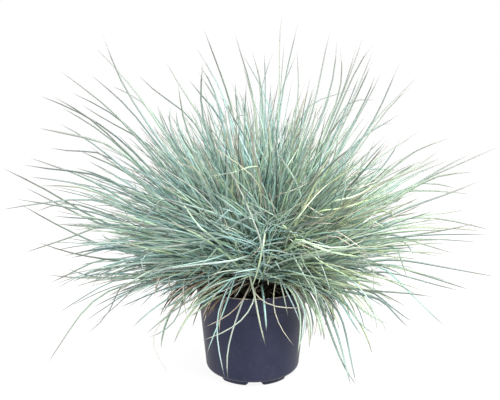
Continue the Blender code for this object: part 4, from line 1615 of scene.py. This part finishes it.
def hangingLeaves():
    # the rest of each hanging tuft, arching over the rim beside the placed ones
    h = hanging
    for index, row in enumerate(h["leaves"]):
        azimuths, leans, lengths, droops = scatterArches(h, *row)
        count = len(azimuths)
        roots = np.array([rimRoot(one, h["rootShare"]) for one in azimuths])
        paths = archPaths(roots, leans, azimuths, lengths, droops)
        keep = ~hitsPot(paths)
        tones, dryness = leafTones(paths, 0)
        widths = random.uniform(*h["width"], count)
        if keep.any():
            turns = random.uniform(-h["turn"], h["turn"], count)
            node = "hanging_tuft_%d" % (index + 1)
            collect(node, paths[keep], widths[keep], turns[keep], tones[keep], dryness[keep])


def strawLeaves():
    h = straw
    for index, row in enumerate(h["leaves"]):
        azimuths, leans, lengths, droops = scatterArches(h, *row)
        count = len(azimuths)
        near, more = h["rootShare"]
        roots = np.array([rimRoot(one, near + more * random.random()) for one in azimuths])
        roots[:, 2] += random.uniform(0, h["rootRise"], count)
        wayward = random.normal(0, h["wayward"], count)
        for attempt in range(5):
            paths = archPaths(roots, leans, azimuths + wayward, lengths, droops)
            blocked = hitsPot(paths)
            leans = np.where(blocked, leans * 0.94, leans)
            droops = np.where(blocked, droops * 0.8, droops)
        bearings = np.degrees(np.arctan2(paths[:, -1, 1], paths[:, -1, 0]))
        keep = ~blocked & ~((bearings > h["bare"][0]) & (bearings < h["bare"][1]))
        widths = random.uniform(*h["width"], count)
        paths = np.array([liftOverRim(path) for path in paths])
        kept = keep.sum()
        turns = random.uniform(-h["turn"], h["turn"], kept)
        node = "straw_tuft_%d" % (index + 1)
        collect(node, paths[keep], widths[keep], turns, random.random(kept), np.ones(kept))


hangingLeaves()
strawLeaves()


thatch = {
    "stubs": 620,
    "lean": math.radians(95),       # at the crown's edge
    "leanVary": 0.16,
    "wayward": 0.3,
    "lengths": (0.007, 0.024),
    "droops": (0, 0.6),
    "width": (0.0014, 0.0026),
    "turn": 1.6,
    "sunk": 0.001,
    "overSoil": 0.0012,
    "fromRim": 0.006,
}
fibres = {
    "count": 150,
    "rootShare": 0.94,
    "rise": (0.0008, 0.004),
    "lean": (1.45, 0.2),
    "wayward": 1.1,
    "lengths": (0.010, 0.026),
    "width": (0.0005, 0.0010),
    "turn": 1.6,
    "overSoil": 0.0006,
    "overRim": 0.004,
    "fromRim": 0.004,
}


def insideRim(paths, gap):
    return np.hypot(paths[..., 0], paths[..., 1]).max(axis=1) < potHigh.x - gap


def sheathStubs():
    # sheath stubs and dead leaf bases that stand on the crown and lie over its edge
    t = thatch
    count = t["stubs"]
    shares = np.sqrt(random.random(count))
    azimuths = random.uniform(0, math.tau, count)
    roots = np.array([rimRoot(azimuth, share) for azimuth, share in zip(azimuths, shares)])
    roots[:, 2] -= t["sunk"]
    leans = shares * t["lean"] + random.normal(0, t["leanVary"], count)
    lengths = random.uniform(*t["lengths"], count)
    headings = azimuths + random.normal(0, t["wayward"], count)
    paths = archPaths(roots, leans, headings, lengths, random.uniform(*t["droops"], count))
    paths[:, :, 2] = np.maximum(paths[:, :, 2], soilHigh.z + t["overSoil"])
    keep = insideRim(paths, t["fromRim"])
    kept = keep.sum()
    shadedTone = 0.8 - 0.7 * np.clip(-np.sin(azimuths), 0, 1) ** 2       # painted shade: the front ones are darkened as if under the leaves
    widths = random.uniform(*t["width"], kept)
    turns = random.uniform(-t["turn"], t["turn"], kept)
    collect("crown", paths[keep], widths, turns, random.random(kept) * shadedTone[keep], np.ones(kept))


mound = {
    "rings": 9,
    "steps": 72,
    "lumps": 0.004,
    "rough": 0.0022,
    "roughMiddle": 0.75,
    "smoothUnder": math.radians(60),
}


def makeMound():
    m = mound
    count = m["rings"]
    rings = [(crownRadius * 0.999, crownLow.z), (crownRadius, crownLow.z + 0.001)]
    rings += [(crownRadius * (1 - index / count), crownTop(1 - index / count)) for index in range(count)]
    made = turnRings("crown_mound", rings, m["steps"])
    cleanUp(made)
    roughen(made, "crown lumps", m["lumps"], m["rough"], texture_coords="LOCAL", mid_level=m["roughMiddle"])
    made.location = (crownCentre[0], crownCentre[1], 0)
    applyPlace(made)
    bpy.ops.object.shade_smooth_by_angle(angle=m["smoothUnder"])
    finishPiece(made, shadedMoundFinish, "crown")


def rootFibres():
    # fine roots that lie on the soil around the crown
    f = fibres
    count = f["count"]
    azimuths = random.uniform(0, math.tau, count)
    roots = np.array([rimRoot(azimuth, f["rootShare"]) for azimuth in azimuths])
    roots[:, 2] = soilHigh.z + random.uniform(*f["rise"], count)
    wayward = azimuths + random.normal(0, f["wayward"], count)
    leans = random.normal(*f["lean"], count)
    paths = archPaths(roots, leans, wayward, random.uniform(*f["lengths"], count), np.zeros(count))
    paths[:, :, 2] = np.clip(paths[:, :, 2], soilHigh.z + f["overSoil"], potHigh.z + f["overRim"])
    keep = insideRim(paths, f["fromRim"])
    kept = keep.sum()
    widths = random.uniform(*f["width"], kept)
    turns = random.uniform(-f["turn"], f["turn"], kept)
    collect("crown", paths[keep], widths, turns, 0.4 + random.random(kept) * 0.6, np.ones(kept))


sheathStubs()
rootFibres()
makeMound()
for number in range(1, clump["tufts"] + 1):
    joinLeaves("leaves_%02d" % number, "tuft_%02d" % number, leafFinish)
for number in range(1, len(hanging["leaves"]) + 1):
    joinLeaves("hanging_leaves_%d" % number, "hanging_tuft_%d" % number, leafFinish)
for number in range(1, len(straw["leaves"]) + 1):
    joinLeaves("straw_leaves_%d" % number, "straw_tuft_%d" % number, strawFinish)
joinLeaves("crown_sheaths", "crown", shadedThatchFinish)
print("leaves joined")

# a pale floor, soft light and the photograph's view

stage = {
    "floorRadius": 4.0,
    "floorDrop": 0.0002,
    "aim": (0, 0, 0.16),    # the lights point here
    "floorTone": 0.09,
    "floorGlow": 0.90,      # its own light, so it stays just white and thin leaves show before it
    "world": 1.01,
    "lights": [         # name, place, size, power
        ("high", (0.9, -0.9, 1.7), 1.0, 88),
        ("left", (-1.5, -1.1, 0.9), 1.4, 22),
        ("front", (0.75, -1.75, 0.30), 0.6, 12),
        ("behind", (0.4, 1.4, 1.3), 1.2, 24),
    ],
}


def addSoftLight(name, place, size, power):
    light = bpy.data.lights.new(name, "AREA")
    light.shape = "DISK"
    light.size = size
    light.energy = power
    obj = bpy.data.objects.new(name, light)
    bpy.context.scene.collection.objects.link(obj)
    obj.location = place
    obj.rotation_euler = (Vector(stage["aim"]) - Vector(place)).to_track_quat("-Z", "Y").to_euler()


def makeStage():
    clearSelection()
    bpy.ops.mesh.primitive_circle_add(
        vertices=128, radius=stage["floorRadius"], fill_type="NGON", location=(0, 0, -stage["floorDrop"]))
    floor = bpy.context.object
    floor.name = "studio_floor"
    applyPlace(floor)
    made, tree, shader = newMaterial("studio floor", 0.9)
    shader.inputs["Base Color"].default_value = (*[stage["floorTone"]] * 3, 1)
    shader.inputs["Specular IOR Level"].default_value = 0.0
    shader.inputs["Emission Color"].default_value = (1, 1, 1, 1)
    shader.inputs["Emission Strength"].default_value = stage["floorGlow"]
    floor.data.materials.append(made)
    world = bpy.data.worlds.new("studio")
    bpy.context.scene.world = world
    world.use_nodes = True
    background = world.node_tree.nodes["Background"]
    background.inputs["Color"].default_value = (1, 1, 1, 1)
    background.inputs["Strength"].default_value = stage["world"]
    for row in stage["lights"]:
        addSoftLight(*row)
    camera = bpy.data.objects.new("camera", bpy.data.cameras.new("camera"))
    bpy.context.scene.collection.objects.link(camera)
    camera.location = view["place"]
    camera.rotation_euler = (math.pi / 2 - view["pitch"], 0, 0)
    camera.data.lens = view["lens"]
    camera.data.sensor_width = view["sensor"]
    bpy.context.scene.camera = camera
    bpy.context.scene.view_settings.view_transform = "Standard"


makeStage()
print("stage made")
